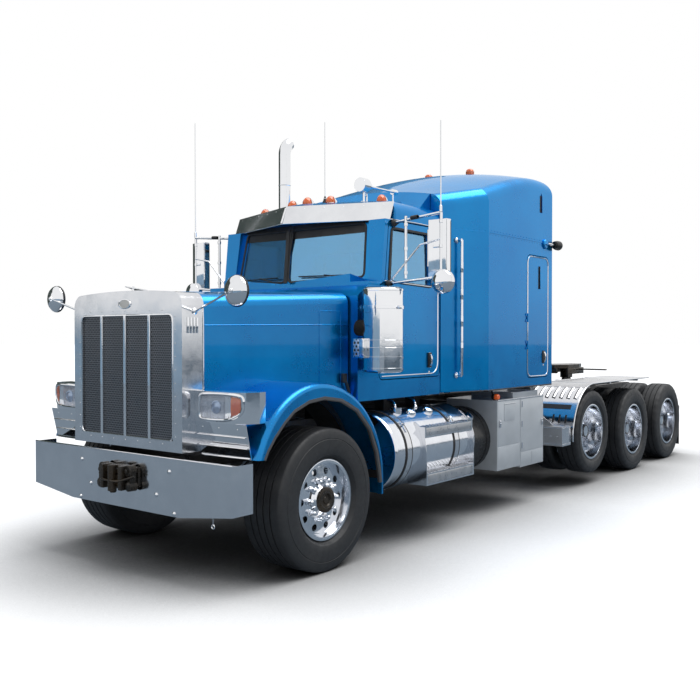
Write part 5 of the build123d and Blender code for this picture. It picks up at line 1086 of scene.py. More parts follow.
class TRUCK_OT_door_mirrors(bpy.types.Operator):
    """Mirror glasses, frames, clamps and feet on the cab's doors"""
    bl_idname = "truck.door_mirrors"
    bl_label = "Door mirrors"

    def execute(self, context):
        bowl = (1.490, 1.102, 2.172)
        for side, sign in SIDES:
            body = f"door_{side}"
            glass = Shape()
            glass.block((1.353, 1.508), (1.1535, 1.1555), (2.212, 2.668), 0.001)
            glass.turned(((0, 0.088), (0.004, 0.06), (0.005, 0)), bowl, BACK, 32)
            glass.done(f"mirror_glass_{side}", body, "chrome", "mirror_glass", sign)
            dark = Shape()
            corners = ((1.346, 2.203), (1.515, 2.203), (1.515, 2.677), (1.346, 2.677))
            dark.tube([(x, 1.152, z) for x, z in corners], 0.006, 0.02, 8, closed=True)
            dark.turned(((-0.004, 0.094), (0.002, 0.0965), (0.008, 0.092), (0.006, 0.088)), bowl, BACK, 32)
            for x, y, z in ((0.953, 1.150, 2.694), (0.953, 1.070, 2.173)):
                dark.turned(
                    ((0, 0.034), (0.010, 0.033), (0.028, 0.024), (0.034, 0.014), (0.050, 0.0135)), (x, y, z),
                    ACROSS, 20,
                )
            dark.turned(hoop(0.035, 0.015, 0.03, 0.017), (1.20, 1.098, 2.716), (1, -0.06, 0.07), 14)
            dark.done(f"mirror_dark_{side}", body, "black_paint", "seal_rubber", sign)
            bright = Shape()
            for x in (1.122, 1.468):
                for z in (2.26, 2.46, 2.66):
                    bright.turned(hoop(0.014, 0.0125, 0.012, 0.017), (x, 1.086, z), UP, 14)
            bright.block((1.395, 1.470), (1.078, 1.096), (2.448, 2.472), 0.004)
            bright.turned(
                ((0.0, 0.0965), (0.012, 0.090), (0.026, 0.066), (0.034, 0.032), (0.036, 0)),
                (1.490, 1.0575, 2.172),
                AHEAD, 40,
            )
            bright.block((1.347, 1.514), (1.083, 1.0935), (2.204, 2.676), 0.005)
            bright.tube(((1.343, 1.0835, 2.30), (1.343, 1.0835, 2.60)), 0.005, 0, 8)
            bright.turned(((0, 0.013), (0.05, 0.012), (0.055, 0.006)), (1.468, 1.080, 2.735), UP, 12)
            bright.done(f"mirror_bright_{side}", body, "chrome", "chrome", sign)
        return {"FINISHED"}


def roof_at(x):
    """Height of the cab's roof at a distance from its middle."""
    return 2.935 - 0.030 * (x / 0.815) ** 2


def teardrop(shape, x, y, foot, first, last, grow):
    """Adds the part of a marker lamp between two shares of its length."""
    rows = []
    for step in range(9):
        part = first + (last - first) * step / 8
        along = y - 0.060 + 0.165 * part
        if part < 0.35:
            size = sqrt(max(1 - ((0.35 - part) / 0.35) ** 2, 0.01))
        else:
            size = max(1 - ((part - 0.35) / 0.65) ** 1.7, 0.03)
        wide, tall = 0.044 * size + grow, 0.070 * size + grow
        rows.append([(x + across, along, foot + rise) for across, rise in (
            (wide * cos(pi * k / 10), tall * sin(pi * k / 10)) for k in range(11)
        )])
    shape.surface(rows)


class TRUCK_OT_roof_lamps(bpy.types.Operator):
    """Amber marker lamps, beacons, the horn's rim and antenna fittings"""
    bl_idname = "truck.roof_lamps"
    bl_label = "Roof lamps and horn"

    def execute(self, context):
        amber = Shape()
        bright = Shape()
        for x, y in ((0, 1.137), (0.231, 1.189), (-0.231, 1.189), (0.707, 1.319), (-0.707, 1.319)):
            foot = roof_at(x) - 0.004
            teardrop(amber, x, y, foot + 0.004, 0.0, 0.62, 0.0)
            teardrop(bright, x, y, foot, 0.40, 1.0, 0.004)
            bright.turned(
                ((0, 0.052), (0.008, 0.051), (0.012, 0.044), (0.010, 0.030)), (x, y - 0.004, foot - 0.002),
                UP, 28,
            )
        dark = Shape()
        foot = 3.520
        for x in (0.275, -0.275):
            amber.turned(
                ((0.012, 0.047), (0.050, 0.046), (0.072, 0.040), (0.084, 0.026), (0.088, 0)),
                (x, 3.590, foot), UP, 28,
            )
            for lift in (0.024, 0.038, 0.052):
                amber.turned(((-0.002, 0.0468), (0, 0.049), (0.002, 0.0468)), (x, 3.590, foot + lift), UP, 28)
            dark.turned(
                ((-0.030, 0.050), (0.008, 0.050), (0.012, 0.047), (0.012, 0.040)), (x, 3.590, foot), UP, 28,
            )
        amber.done("roof_ambers", "chassis", "amber_lens", "amber_lens", 1, ("roof_lamps",))
        bright.turned(
            ((0.0, 0.050), (-0.012, 0.0635), (-0.016, 0.064), (-0.018, 0.061), (-0.004, 0.040), (0.03, 0.02),
             (0.04, 0)),
            (0.520, 1.258, 3.080), BACK, 36,
        )
        bright.tube(((0.520, 1.30, 3.080), (0.520, 1.345, 3.00), (0.520, 1.345, 2.915)), 0.009, 0.03, 8)
        bright.turned(((0, 0.032), (0.006, 0.031), (0.010, 0.018)), (0.520, 1.345, roof_at(0.52)), UP, 20)
        bright.done("roof_bright", "chassis", "chrome")
        dark.turned(
            ((0, 0.026), (0.010, 0.024), (0.05, 0.012), (0.07, 0.006)), (-0.400, 1.860, 3.078), UP, 16,
        )
        dark.done("beacon_feet", "chassis", "black_paint", "seal_rubber")
        return {"FINISHED"}


class TRUCK_OT_visor(bpy.types.Operator):
    """Lip, seam and rivets of the sun visor, and the drip rails over the doors"""
    bl_idname = "truck.visor"
    bl_label = "Sun visor"

    def execute(self, context):
        def edge(x, reach):
            return 0.850 + 0.3665 * abs(x) - reach

        trim = Shape()
        trim.tube([(x, edge(x, 0.071), 2.7235) for x in (-0.925, -0.45, 0.0, 0.45, 0.925)], 0.005, 0.03, 8)
        trim.strip(((0, edge(0, 0.072), 2.730), (0, edge(0, 0.012), 2.872)), 0.010, 0.003, (0, -1, 0.3))
        for count in range(11):
            x = -0.85 + 0.17 * count
            trim.rivet((x, edge(x, 0.019), 2.858), (0, -1, 0.35), context.scene.truck_trim.rivet)
        for sign in (1, -1):
            trim.tube(
                ((sign * 0.949, 1.115, 2.722), (sign * 0.951, 1.50, 2.728), (sign * 0.949, 1.885, 2.722)),
                0.006, 0.1, 8,
            )
        trim.done("visor_trim", "chassis", "chrome")
        return {"FINISHED"}


class TRUCK_OT_air_cleaners(bpy.types.Operator):
    """Bands, seams, clamps, inlets and ribbed hoses of the air cleaners"""
    bl_idname = "truck.air_cleaners"
    bl_label = "Air cleaners"

    def execute(self, context):
        x, y = 1.130, 0.752
        bright = Shape()
        for z, half, out in (                  # height, half width and thickness of each band
            (1.960, 0.014, 0.008), (1.560, 0.010, 0.004), (2.098, 0.010, 0.003), (1.470, 0.010, 0.003),
        ):
            bright.turned(hoop(half, 0.1645, half * 0.8, 0.165 + out), (x, y, z), UP, 72)
        for z in (1.700, 1.640):
            bright.turned(((-0.002, 0.1648), (0, 0.1662), (0.002, 0.1648)), (x, y, z), UP, 72)
        for sign in (1, -1):
            at = (x + sign * 0.178, y - 0.02, 1.960)
            bright.block((at[0] - 0.012, at[0] + 0.012), (y - 0.034, y - 0.006), (1.946, 1.974), 0.004)
            bright.bolt((at[0], y - 0.034, 1.960), AHEAD, 0.009, 0.012)
        bright.block((0.980, 1.090), (0.548, 0.665), (1.555, 1.715), 0.012)
        bright.turned(((0, 0.155), (0.006, 0.14), (0.014, 0.06), (0.016, 0)), (x, y, 2.119), UP, 60)
        bright.both_sides().done("air_cleaner_bands", "chassis", "chrome")
        inlet = Shape()
        inlet.block((0.990, 1.045), (0.5462, 0.552), (1.565, 1.705), 0.001)
        inlet.both_sides().done("air_cleaner_inlets", "chassis", "chrome", "intake_mesh")
        hose = Shape()
        rings = []
        for count in range(9):
            rings += [(0.013 * count, 0.058), (0.013 * count + 0.005, 0.066), (0.013 * count + 0.009, 0.058)]
        hose.turned(rings, (0.946, 0.665, 1.800), (1, 0.0, -0.1), 28)
        hose.both_sides().done("air_hoses", "chassis", "flap_rubber", "seal_rubber")
        return {"FINISHED"}


class TRUCK_OT_tanks(bpy.types.Operator):
    """Domed ends, strap linings, caps and fittings of the tanks, and the steps' treads"""
    bl_idname = "truck.tanks"
    bl_label = "Tanks and steps"

    def execute(self, context):
        straps = (1.030, 1.780)
        x, z = 0.870, 0.765            # the fuel tanks' middle
        dark_x, dark_z = 0.785, 0.720  # the black tanks' middle
        lining = Shape()
        for y in straps:
            for edge in (-0.040, 0.040):
                lining.turned(hoop(0.008, 0.3275, 0.007, 0.334), (x, y + edge, z), BACK, 96)
        lining.both_sides().done("strap_linings", "chassis", "flap_rubber", "seal_rubber")
        bright = Shape()
        for y, way in ((0.832, -1), (2.100, 1)):
            bright.turned(
                ((-0.006, 0.3285), (0.002, 0.327), (0.004, 0.318), (0.001, 0.306), (0.010, 0.24),
                 (0.014, 0.12), (0.015, 0)),
                (x, y, z), (0, way, 0), 96,
            )
        for y in straps:
            bright.block((1.10, 1.135), (y - 0.026, y + 0.026), (0.985, 1.012), 0.006)
            bright.tube(((1.130, y, 0.985), (1.165, y, 0.935)), 0.008, 0, 8)
            bright.bolt((1.130, y, 1.004), (0.6, 0, 0.8), 0.012, 0.014)
        for y in (1.330, 1.600):
            at = (1.005, y, 1.058)
            bright.turned(
                ((0, 0.046), (0.012, 0.046), (0.030, 0.040), (0.038, 0.028), (0.040, 0)), at, (0.42, 0, 0.9),
                28,
            )
        low = 1.085
        for y in (1.25, 1.56):
            bright.tube(
                ((0.90, y, low), (0.90, y, 1.130), (0.86, y + 0.02, 1.165), (0.80, y + 0.02, 1.175)), 0.012,
                0.03, 10,
            )
            bright.turned(((0, 0.02), (0.02, 0.022), (0.03, 0.014)), (0.90, y, low), UP, 16)
        bright.turned(
            ((0, 0.050), (0.014, 0.050), (0.030, 0.040), (0.034, 0)), (0.995, 2.33, 0.952), (0.65, 0, 0.76),
            28,
        )
        bright.both_sides().done("tank_fittings", "chassis", "chrome")
        treads = Shape()
        for reach, low, high in ((1.2325, 0.478, 0.558), (1.2155, 0.885, 0.952)):
            treads.block((reach - 0.002, reach + 0.0015), (1.262, 2.006), (low, high), 0.001)
        for reach, top in ((1.20, 0.571), (1.185, 0.963)):
            for count in range(14):
                y = 1.275 + 0.053 * count
                treads.tube(((reach - 0.055, y, top), (reach + 0.020, y, top)), 0.0045, 0, 6)
        treads.both_sides().done("step_treads", "chassis", "polished_alloy", "tread_plate")
        bands = Shape()
        for y in (2.225, 2.520):
            bands.turned(hoop(0.020, 0.3135, 0.018, 0.3185), (dark_x, y, dark_z), BACK, 80)
        bands.turned(
            ((0, 0.312), (0.005, 0.300), (0.001, 0.285), (0.012, 0.18), (0.014, 0)), (dark_x, 2.180, dark_z),
            AHEAD, 80,
        )
        bands.both_sides().done("dark_tank_bands", "chassis", "black_paint")
        return {"FINISHED"}


class TRUCK_OT_boxes(bpy.types.Operator):
    """Door panels, hatch, latches, hinges, skirts and side lamp of the equipment boxes"""
    bl_idname = "truck.boxes"
    bl_label = "Equipment boxes"

    def execute(self, context):
        panels = Shape()
        for first, last, low, high in ((2.592, 3.046, 0.660, 1.090), (3.072, 3.578, 0.560, 1.090)):
            panels.block((1.170, 1.1755), (first, last), (low, high), 0.002)
        panels.block((1.170, 1.1748), (2.592, 3.046), (0.432, 0.648), 0.002)
        panels.block((1.170, 1.1748), (3.072, 3.578), (0.412, 0.548), 0.002)
        panels.block((1.174, 1.1795), (2.715, 2.935), (0.895, 1.062), 0.002)
        panels.strip(((1.172, 3.320, 0.42), (1.172, 3.320, 0.54)), 0.005, 0.006, ACROSS)
        panels.both_sides().done("box_panels", "chassis", "grey_paint", "box_paint")
        bright = Shape()
        bright.tube(((1.1800, 2.715, 1.064), (1.1800, 2.935, 1.064)), 0.005, 0, 8)
        bright.strip(((1.172, 2.585, 1.101), (1.172, 3.585, 1.101)), 0.006, 0.006, ACROSS)
        bright.strip(((0.66, 3.02, 1.1605), (1.10, 3.02, 1.1605)), 0.012, 0.003, UP)
        for y, z in ((2.625, 0.875), (3.545, 0.83)):
            bright.block((1.175, 1.186), (y - 0.014, y + 0.014), (z - 0.035, z + 0.035), 0.004)
            bright.turned(((0, 0.008), (0.006, 0.007), (0.007, 0)), (1.186, y, z), ACROSS, 12)
        for z in (0.62, 0.84, 1.04):
            bright.tube(((1.178, 3.095, z - 0.03), (1.178, 3.095, z + 0.03)), 0.006, 0, 8)
        for count in range(9):
            for z in (0.436, 0.640):
                bright.rivet((1.1748, 2.62 + 0.05 * count, z), ACROSS, 0.004, 6)
        bright.both_sides().done("box_fittings", "chassis", "polished_alloy", "stainless")
        at = (1.135, 2.600, 1.140)
        lamp = Shape()
        lamp.turned(((0, 0.028), (0.035, 0.028), (0.044, 0.022), (0.046, 0)), at, ACROSS, 24)
        lamp.both_sides().done("side_lamps", "chassis", "amber_lens")
        post = Shape()
        post.tube(((1.125, 2.600, 1.100), (1.125, 2.600, 1.140), (1.10, 2.600, 1.195)), 0.010, 0.02, 8)
        post.turned(((-0.022, 0.030), (0.003, 0.031), (0.006, 0.027)), at, ACROSS, 24)
        post.both_sides().done("side_lamp_posts", "chassis", "black_paint")
        return {"FINISHED"}


def fender_front(rise):
    """A point and the outward direction on the rear fender's front curve, by share of its length."""
    first, middle, last = Vector((4.253, 0.545)), Vector((4.418, 1.000)), Vector((4.873, 1.176))
    centre = centre_of_arc(first, middle, last)
    radius = (first - centre).length
    start = (first - centre).angle_signed(Vector((-1, 0)))
    sweep = (first - centre).angle(last - centre)
    angle = start - sweep * rise
    out = Vector((-cos(angle), -sin(angle)))
    return centre + out * radius, out


class TRUCK_OT_rear_fenders(bpy.types.Operator):
    """Beads, louvres, dark strips of painted shade in the louvres' and slots' openings and under a step's edge,
    top plates and rubber edges of the rear fenders
    """
    bl_idname = "truck.rear_fenders"
    bl_label = "Rear fenders"

    def execute(self, context):
        bright = Shape()
        curve = [fender_front(step / 14)[0] for step in range(15)]
        for x in (1.2205, 0.6215):
            bright.tube([(x, p.x, p.y) for p in curve] + [(x, 5.6, 1.177), (x, 6.698, 1.177)], 0.008, 0, 8)
        bright.tube(((0.622, 6.700, 1.175), (1.220, 6.700, 1.175)), 0.008, 0, 8)
        # The dark strips are painted shade: in the opening beside each louvre, in the slots, and a wide one for
        # the shadow under the step's edge.
        dark = Shape()

        def raised(x, points, lift):
            return [(x, p.x + out.x * lift, p.y + out.y * lift) for p, out in points]

        for count in range(6):
            x = 0.715 + 0.088 * count
            points = [fender_front(0.52 + 0.20 * step / 5) for step in range(6)]
            dark.sweep(
                raised(x, points, 0.001),
                ((-0.012, -0.002), (0.012, -0.002), (0.012, 0.003), (-0.012, 0.003)), up=(0, -0.8, 0.6),
            )
            bright.sweep(
                raised(x + 0.020, points, 0.002),
                ((-0.012, -0.002), (0.014, -0.002), (0.008, 0.010), (-0.008, 0.014)), up=(0, -0.8, 0.6),
            )
        for count in range(3):
            x = 0.965 + 0.075 * count
            points = [fender_front(0.20 + 0.10 * step / 4) for step in range(5)]
            dark.sweep(
                raised(x, points, 0.001),
                ((-0.010, -0.002), (0.010, -0.002), (0.010, 0.003), (-0.010, 0.003)), up=(0, -1, 0.1),
            )
        # A wide dark strip here is a painted shadow under the step's edge.
        at, out = fender_front(0.40)
        dark.strip(((0.80, at.x, at.y), (1.15, at.x, at.y)), 0.030, 0.004, (0, out.x, out.y))
        bright.both_sides()
        dark.both_sides()
        bright.done("rear_fender_bright", "chassis", "polished_alloy", "stainless")
        dark.done("rear_fender_painted_slot_shade", "chassis", "black_paint", "seal_rubber")
        plates = Shape()
        plates.block((0.632, 1.212), (4.90, 6.69), (1.1755, 1.1785), 0.001)
        for step in range(6):
            low, out = fender_front(0.74 + 0.04 * step)
            high, ahead = fender_front(0.74 + 0.04 * (step + 1))
            plates.plate(
                ((0.64, low.x, low.y), (1.205, low.x, low.y), (1.205, high.x, high.y),
                 (0.64, high.x, high.y)),
                (0, (out.x + ahead.x) * 0.0012, (out.y + ahead.y) * 0.0012),
            )
        plates.block((0.775, 1.195), (4.010, 4.230), (0.7265, 0.7300), 0.001)
        plates.both_sides().done("rear_fender_plates", "chassis", "polished_alloy", "tread_plate")
        edges = Shape()
        for z in (0.532, 0.712):
            edges.strip(((1.198, 4.012, z), (1.198, 4.228, z)), 0.006, 0.005, ACROSS)
            edges.strip(((0.77, 4.0055, z), (1.19, 4.0055, z)), 0.006, 0.003, AHEAD)
        for count in range(5):
            edges.bolt((0.84 + 0.075 * count, 4.0035, 0.622), AHEAD, 0.007, 0.005)
        edges.both_sides().done("side_step_edges", "chassis", "polished_alloy", "stainless")
        return {"FINISHED"}


class TRUCK_OT_fifth_wheel(bpy.types.Operator):
    """Skirts, jaws, ribs, handle and slide rails of the fifth wheel"""
    bl_idname = "truck.fifth_wheel"
    bl_label = "Fifth wheel"

    def execute(self, context):
        top = 1.062
        under = 1.309
        plate = Shape()
        for sign in (1, -1):
            plate.block((sign * 0.395, sign * 0.445), (5.86, 6.38), (1.225, under), 0.008)
            plate.block((sign * 0.20, sign * 0.235), (5.74, 6.42), (1.245, under), 0.006)
            plate.tube(
                ((sign * 0.07, 5.83, 1.29), (sign * 0.15, 6.10, 1.285), (sign * 0.17, 6.36, 1.29)), 0.014,
                0.05, 8,
            )
        plate.block((-0.36, 0.36), (5.70, 5.735), (1.240, under), 0.008)
        plate.turned(
            ((-0.030, 0.075), (0.0, 0.078), (0.012, 0.072), (0.012, 0.040), (0.0, 0.030)), (0, 5.955, 1.292),
            UP, 28,
        )
        plate.tube(((0.30, 6.22, 1.285), (0.815, 6.22, 1.285)), 0.010, 0, 10)
        plate.tube(
            [
                (0.795 + 0.032 * cos(2 * pi * k / 16), 6.22 + 0.020 * sin(2 * pi * k / 16), 1.285)
                for k in range(16)
            ],
            0.007, 0, 8, closed=True,
        )
        for count in range(6):
            plate.bolt((-0.30 + 0.12 * count, 5.78, 1.3515), UP, 0.008, 0.001)
        plate.done("fifth_wheel_ribs", "fifth_plate", "black_steel", "greased_steel")
        base = Shape()
        for sign in (1, -1):
            base.block((sign * 0.352, sign * 0.428), (5.58, 6.86), (1.031, top), 0.005)
            for count in range(24):
                y = 5.60 + 0.052 * count
                base.block((sign * 0.360, sign * 0.376), (y, y + 0.026), (top, 1.078), 0.003)
            for y in (5.70, 6.36, 6.72):
                base.bolt((sign * 0.405, y, top), UP, 0.013, 0.014)
            base.turned(
                ((-0.01, 0.055), (0.014, 0.054), (0.020, 0.040), (0.022, 0)), (sign * 0.352, 6.02, 1.230),
                (sign, 0, 0), 24,
            )
        base.done("fifth_wheel_rails", "chassis", "black_steel", "greased_steel")
        return {"FINISHED"}


class TRUCK_OT_chassis(bpy.types.Operator):
    """Frame bolts, brake chambers, air lines, spring clamps and deck rivets"""
    bl_idname = "truck.chassis"
    bl_label = "Chassis fittings"

    def execute(self, context):
        deck = 1.1625
        side = 0.430
        dark = Shape()
        for sign in (1, -1):
            for count in range(34):
                y = 2.30 + 0.165 * count
                for z in (0.83, 0.96):
                    dark.bolt((sign * side, y, z), (sign, 0, 0), 0.010, 0.009)
            for y in (-0.42, 0.38):
                for z in (0.80, 0.93):
                    dark.bolt((sign * side, y, z), (sign, 0, 0), 0.010, 0.009)
            for y in (-0.10, 0.10):
                for x in (0.325, 0.415):
                    dark.tube(((sign * x, y, 0.43), (sign * x, y, 0.60)), 0.010, 0, 8)
            dark.tube(
                ((sign * 0.33, 0.70, 0.985), (sign * 0.33, 2.40, 0.99), (sign * 0.32, 4.10, 0.975),
                 (sign * 0.33, 7.90, 0.985)),
                0.011, 0.1, 8,
            )
        for _, y, _, z in REAR_AXLES:
            for sign in (1, -1):
                for way in (1, -1):
                    dark.turned(
                        ((0, 0.030), (0.012, 0.074), (0.060, 0.078), (0.066, 0.084), (0.074, 0.084),
                         (0.080, 0.078),
                         (0.135, 0.070), (0.150, 0.040), (0.152, 0)),
                        (sign * 0.20, y + way * 0.11, z + 0.05), (0, way, 0.15), 24,
                    )
                    dark.block(
                        (sign * 0.175, sign * 0.225), (y + way * 0.05, y + way * 0.13), (z - 0.02, z + 0.10),
                        0.006,
                    )
        dark.done("chassis_fittings", "chassis", "black_steel")
        bolts = Shape()
        for sign in (1, -1):
            for count in range(9):
                bolts.rivet((sign * 0.575, 3.90 + 0.128 * count, deck), UP, 0.008)
                bolts.rivet((sign * 0.08, 3.90 + 0.128 * count, deck), UP, 0.008)
        bolts.done("deck_rivets", "chassis", "polished_alloy", "stainless")
        return {"FINISHED"}


TAIL_LAMPS = (                 # x, y, z and radius of each
    (0.305, 8.138, 0.870, 0.052), (0.305, 8.138, 0.745, 0.040), (0.520, 8.188, 0.670, 0.024),
)


class TRUCK_OT_tail(bpy.types.Operator):
    """Tail lamps with their rings, flap hanger bolts, flap weights and a blank plate"""
    bl_idname = "truck.tail"
    bl_label = "Tail"

    def execute(self, context):
        red, rings = Shape(), Shape()
        for *at, size in TAIL_LAMPS:
            red.turned(((0, size), (0.007, size * 0.97), (0.010, size * 0.7), (0.011, 0)), at, BACK, 32)
            rings.turned(
                ((-0.002, size + 0.010), (0.006, size + 0.009), (0.010, size + 0.003), (0.006, size)),
                at, BACK, 32,
            )
        red.both_sides().done("tail_lamps", "chassis", "amber_lens", "red_lens")
        for x in (0.70, 0.89, 1.08):
            rings.bolt((x, 8.188, 0.672), BACK, 0.009, 0.0115)
        rings.both_sides().done("tail_lamp_rings", "chassis", "black_steel", "seal_rubber")
        weights = Shape()
        weights.block((0.640, 1.145), (8.1845, 8.1882), (0.150, 0.205), 0.0012)
        for x in (0.68, 0.89, 1.10):
            weights.rivet((x, 8.1845, 0.178), AHEAD, 0.006)
        weights.both_sides().done("flap_weights", "chassis", "chrome", "stainless")
        plate = Shape()
        plate.block((-0.152, 0.152), (8.137, 8.1415), (0.785, 0.945), 0.002)
        for x in (-0.09, 0.09):
            plate.bolt((x, 8.1415, 0.925), BACK, 0.006, 0.003)
        plate.done("rear_blank_plate", "chassis", "chrome", "bare_plate")
        return {"FINISHED"}


class TRUCK_OT_stack(bpy.types.Operator):
    """Heat shield and clamps of the exhaust stack"""
    bl_idname = "truck.stack"
    bl_label = "Exhaust stack"

    def execute(self, context):
        x, y = -1.110, 2.030
        shield = Shape()
        rows = []
        for z in (1.50, 1.95, 2.40, 2.82):
            row = []
            for angle in range(60, 301, 12):
                turn = radians(angle)
                row.append((x + 0.078 * cos(turn), y + 0.078 * sin(turn), z))
            rows.append(row)
        shield.surface(rows)
        shield.done("stack_shield", "chassis", "chrome", "intake_mesh")
        clamps = Shape()
        for z in (1.48, 2.12, 2.84, 3.02):
            clamps.turned(hoop(0.016, 0.064, 0.014, 0.070), (x, y, z), UP, 32)
        for z in (1.60, 2.72):
            clamps.block((-1.075, -0.985), (2.016, 2.044), (z - 0.03, z + 0.03), 0.006)
        clamps.turned(((0, 0.0636), (0.004, 0.067), (0.010, 0.067), (0.012, 0.0636)), (x, y, 3.35), UP, 32)
        clamps.done("stack_clamps", "chassis", "chrome")
        return {"FINISHED"}


# ---- the sleeper -------------------------------------------------------------------------------
class TRUCK_OT_sleeper(bpy.types.Operator):
    """Seams, rivets, vents, access doors' beads and handles, grab bar feet and work lamps"""
    bl_idname = "truck.sleeper"
    bl_label = "Sleeper trim"

    def execute(self, context):
        trim = context.scene.truck_trim
        skin = 1.1702
        paint = Shape()
        paint.strip(
            ((0.953, 1.920, 2.720), (1.150, 2.370, 2.720), (skin, 2.430, 2.720), (skin, 3.795, 2.720)),
            0.006, 0.003, (1, -0.1, 0), 0.03,
        )
        for count in range(22):
            y = 2.46 + 0.061 * count
            paint.rivet((skin, y, 2.738), ACROSS, trim.rivet)
            paint.rivet((skin, y, 1.236), ACROSS, trim.rivet)
        for count in range(8):
            part = (count + 0.5) / 8
            at = (0.952 + 0.216 * part, 1.915 + 0.490 * part)
            paint.rivet((at[0], at[1], 2.738), (0.92, -0.4, 0), trim.rivet)
            paint.rivet((at[0], at[1], 1.236), (0.92, -0.4, 0), trim.rivet)
        y, low, high = 3.546, 3.03, 3.19
        wedge = [
            (skin - 0.004, y, low), (skin + 0.012, y - 0.014, low), (skin + 0.012, y - 0.004, low),
            (skin - 0.004, y + 0.022, low),
        ]
        paint.plate(wedge, (0, 0, high - low), 0.002)
        paint.plate([(a, b, high) for a, b, _ in wedge], (-0.013, 0, 0.055), 0.002)
        paint.both_sides().done("sleeper_seams", "chassis", "blue_paint")
        dark = Shape()
        dark.block((skin - 0.001, skin + 0.0015), (3.500, 3.533), (3.03, 3.205), 0.001)
        for count in range(24):
            dark.rivet((skin, 2.43 + 0.0595 * count, 2.700), ACROSS, 0.0035, 6)
        dark.tube(((1.052, 1.9, 1.213), (skin, 2.42, 1.213), (skin, 3.79, 1.213)), 0.007, 0.05, 8)
        dark.both_sides().done("sleeper_dark", "chassis", "flap_rubber", "seal_rubber")

        for side, sign in SIDES:
            body = f"sleeper_door_{side}"
            bright = Shape()
            corners = ((3.226, 1.316), (3.226, 2.554), (3.696, 2.554), (3.696, 1.316))
            bright.tube([(skin, y, z) for y, z in corners], trim.bead, 0.075, 8, closed=True)
            bright.tube(
                ((1.182, 3.592, 1.462), (1.195, 3.592, 1.482), (1.195, 3.592, 1.542), (1.182, 3.592, 1.562)),
                0.009, 0.015, 10,
            )
            bright.turned(((0, 0.010), (0.003, 0.009), (0.004, 0)), (skin, 3.592, 1.425), ACROSS, 16)
            bright.done(f"access_bright_{side}", body, "chrome", "chrome", sign)
            inset = Shape()
            inset.block((1.1695, 1.1755), (3.566, 3.618), (1.445, 1.578), 0.004)
            inset.block((1.1690, 1.1720), (3.470, 3.500), (2.228, 2.462), 0.001)
            inset.done(f"access_dark_{side}", body, "flap_rubber", "seal_rubber", sign)
            vent = Shape()
            wedge = [
                (skin - 0.002, 3.502, 2.225), (skin + 0.012, 3.490, 2.225), (skin + 0.012, 3.499, 2.225),
                (skin - 0.002, 3.524, 2.225),
            ]
            vent.plate(wedge, (0, 0, 0.240), 0.002)
            vent.done(f"access_vent_{side}", body, "blue_paint", "blue_paint", sign)

        feet = Shape()
        for z in (1.366, 2.622):
            feet.turned(
                ((-0.004, 0.030), (0.006, 0.029), (0.014, 0.018), (0.020, 0.016)), (1.0205, 2.070, z), ACROSS,
                20,
            )
        for z in (1.62, 1.87, 2.12, 2.37):
            feet.turned(hoop(0.05, 0.0155, 0.048, 0.0165), (1.075, 2.070, z), UP, 20)
        for sign in (1, -1):
            feet.tube(
                ((sign * 1.205, 3.62, 2.708), (sign * 1.212, 3.72, 2.700), (sign * 1.210, 3.80, 2.708)),
                0.009, 0.03, 8,
            )
        feet.done("grab_bar_feet", "chassis", "chrome")
        lamps = Shape()
        lamps.turned(
            ((-0.050, 0.020), (-0.040, 0.040), (0.010, 0.050), (0.055, 0.051), (0.060, 0.046),
             (0.056, 0.042)),
            (1.210, 3.815, 2.708), BACK, 32,
        )
        lamps.both_sides().done("work_lamps", "chassis", "black_paint")
        lens = Shape()
        lens.turned(((0, 0.043), (0.004, 0.03), (0.005, 0)), (1.210, 3.8795, 2.708), BACK, 32)
        lens.both_sides().done("work_lamp_lenses", "chassis", "lamp_lens", "lamp_reflector")
        pads = Shape()
        pads.turned(
            ((0, 0.052), (0.012, 0.051), (0.020, 0.042), (0.022, 0.014)), (skin, 3.620, 2.708), ACROSS, 32,
        )
        pads.both_sides().done("work_lamp_pads", "chassis", "blue_paint")
        return {"FINISHED"}


# ---- inside the cab ----------------------------------------------------------------------------
def cushion(shape, x, y, z, crown, channels=(), steps=18, along="y"):
    """Adds a crowned, closed pad between low and high along each axis; channels are sewn lines across it."""
    middle = [(low + high) / 2 for low, high in (x, y, z)]
    half = [(high - low) / 2 for low, high in (x, y, z)]
    rows = []
    for step in range(steps + 1):
        part = -1 + 2 * step / steps
        shrink = (1 - min(abs(part), 0.999) ** 7) ** (1 / 7)
        row = []
        for turn in range(48):
            angle = 2 * pi * turn / 48
            across = abs(cos(angle)) ** 0.42 * (1 if cos(angle) > 0 else -1)
            rise = abs(sin(angle)) ** 0.42 * (1 if sin(angle) > 0 else -1)
            pull = 1 - 0.035 * (1 - abs(rise)) * (1 - part * part)
            swell = crown * (1 - across * across) * (1 - part * part)
            dent = sum(0.006 for line in channels if abs(across - line) < 0.05)
            lift = swell - dent if rise > 0 else 0.0
            wide = middle[0] + half[0] * across * pull * shrink
            if along == "y":
                row.append((wide, middle[1] + half[1] * part, middle[2] + half[2] * rise * shrink + lift))
            else:
                row.append((wide, middle[1] - half[1] * rise * shrink - lift, middle[2] + half[2] * part))
        rows.append(row)
    shape.surface(rows, closed=True)


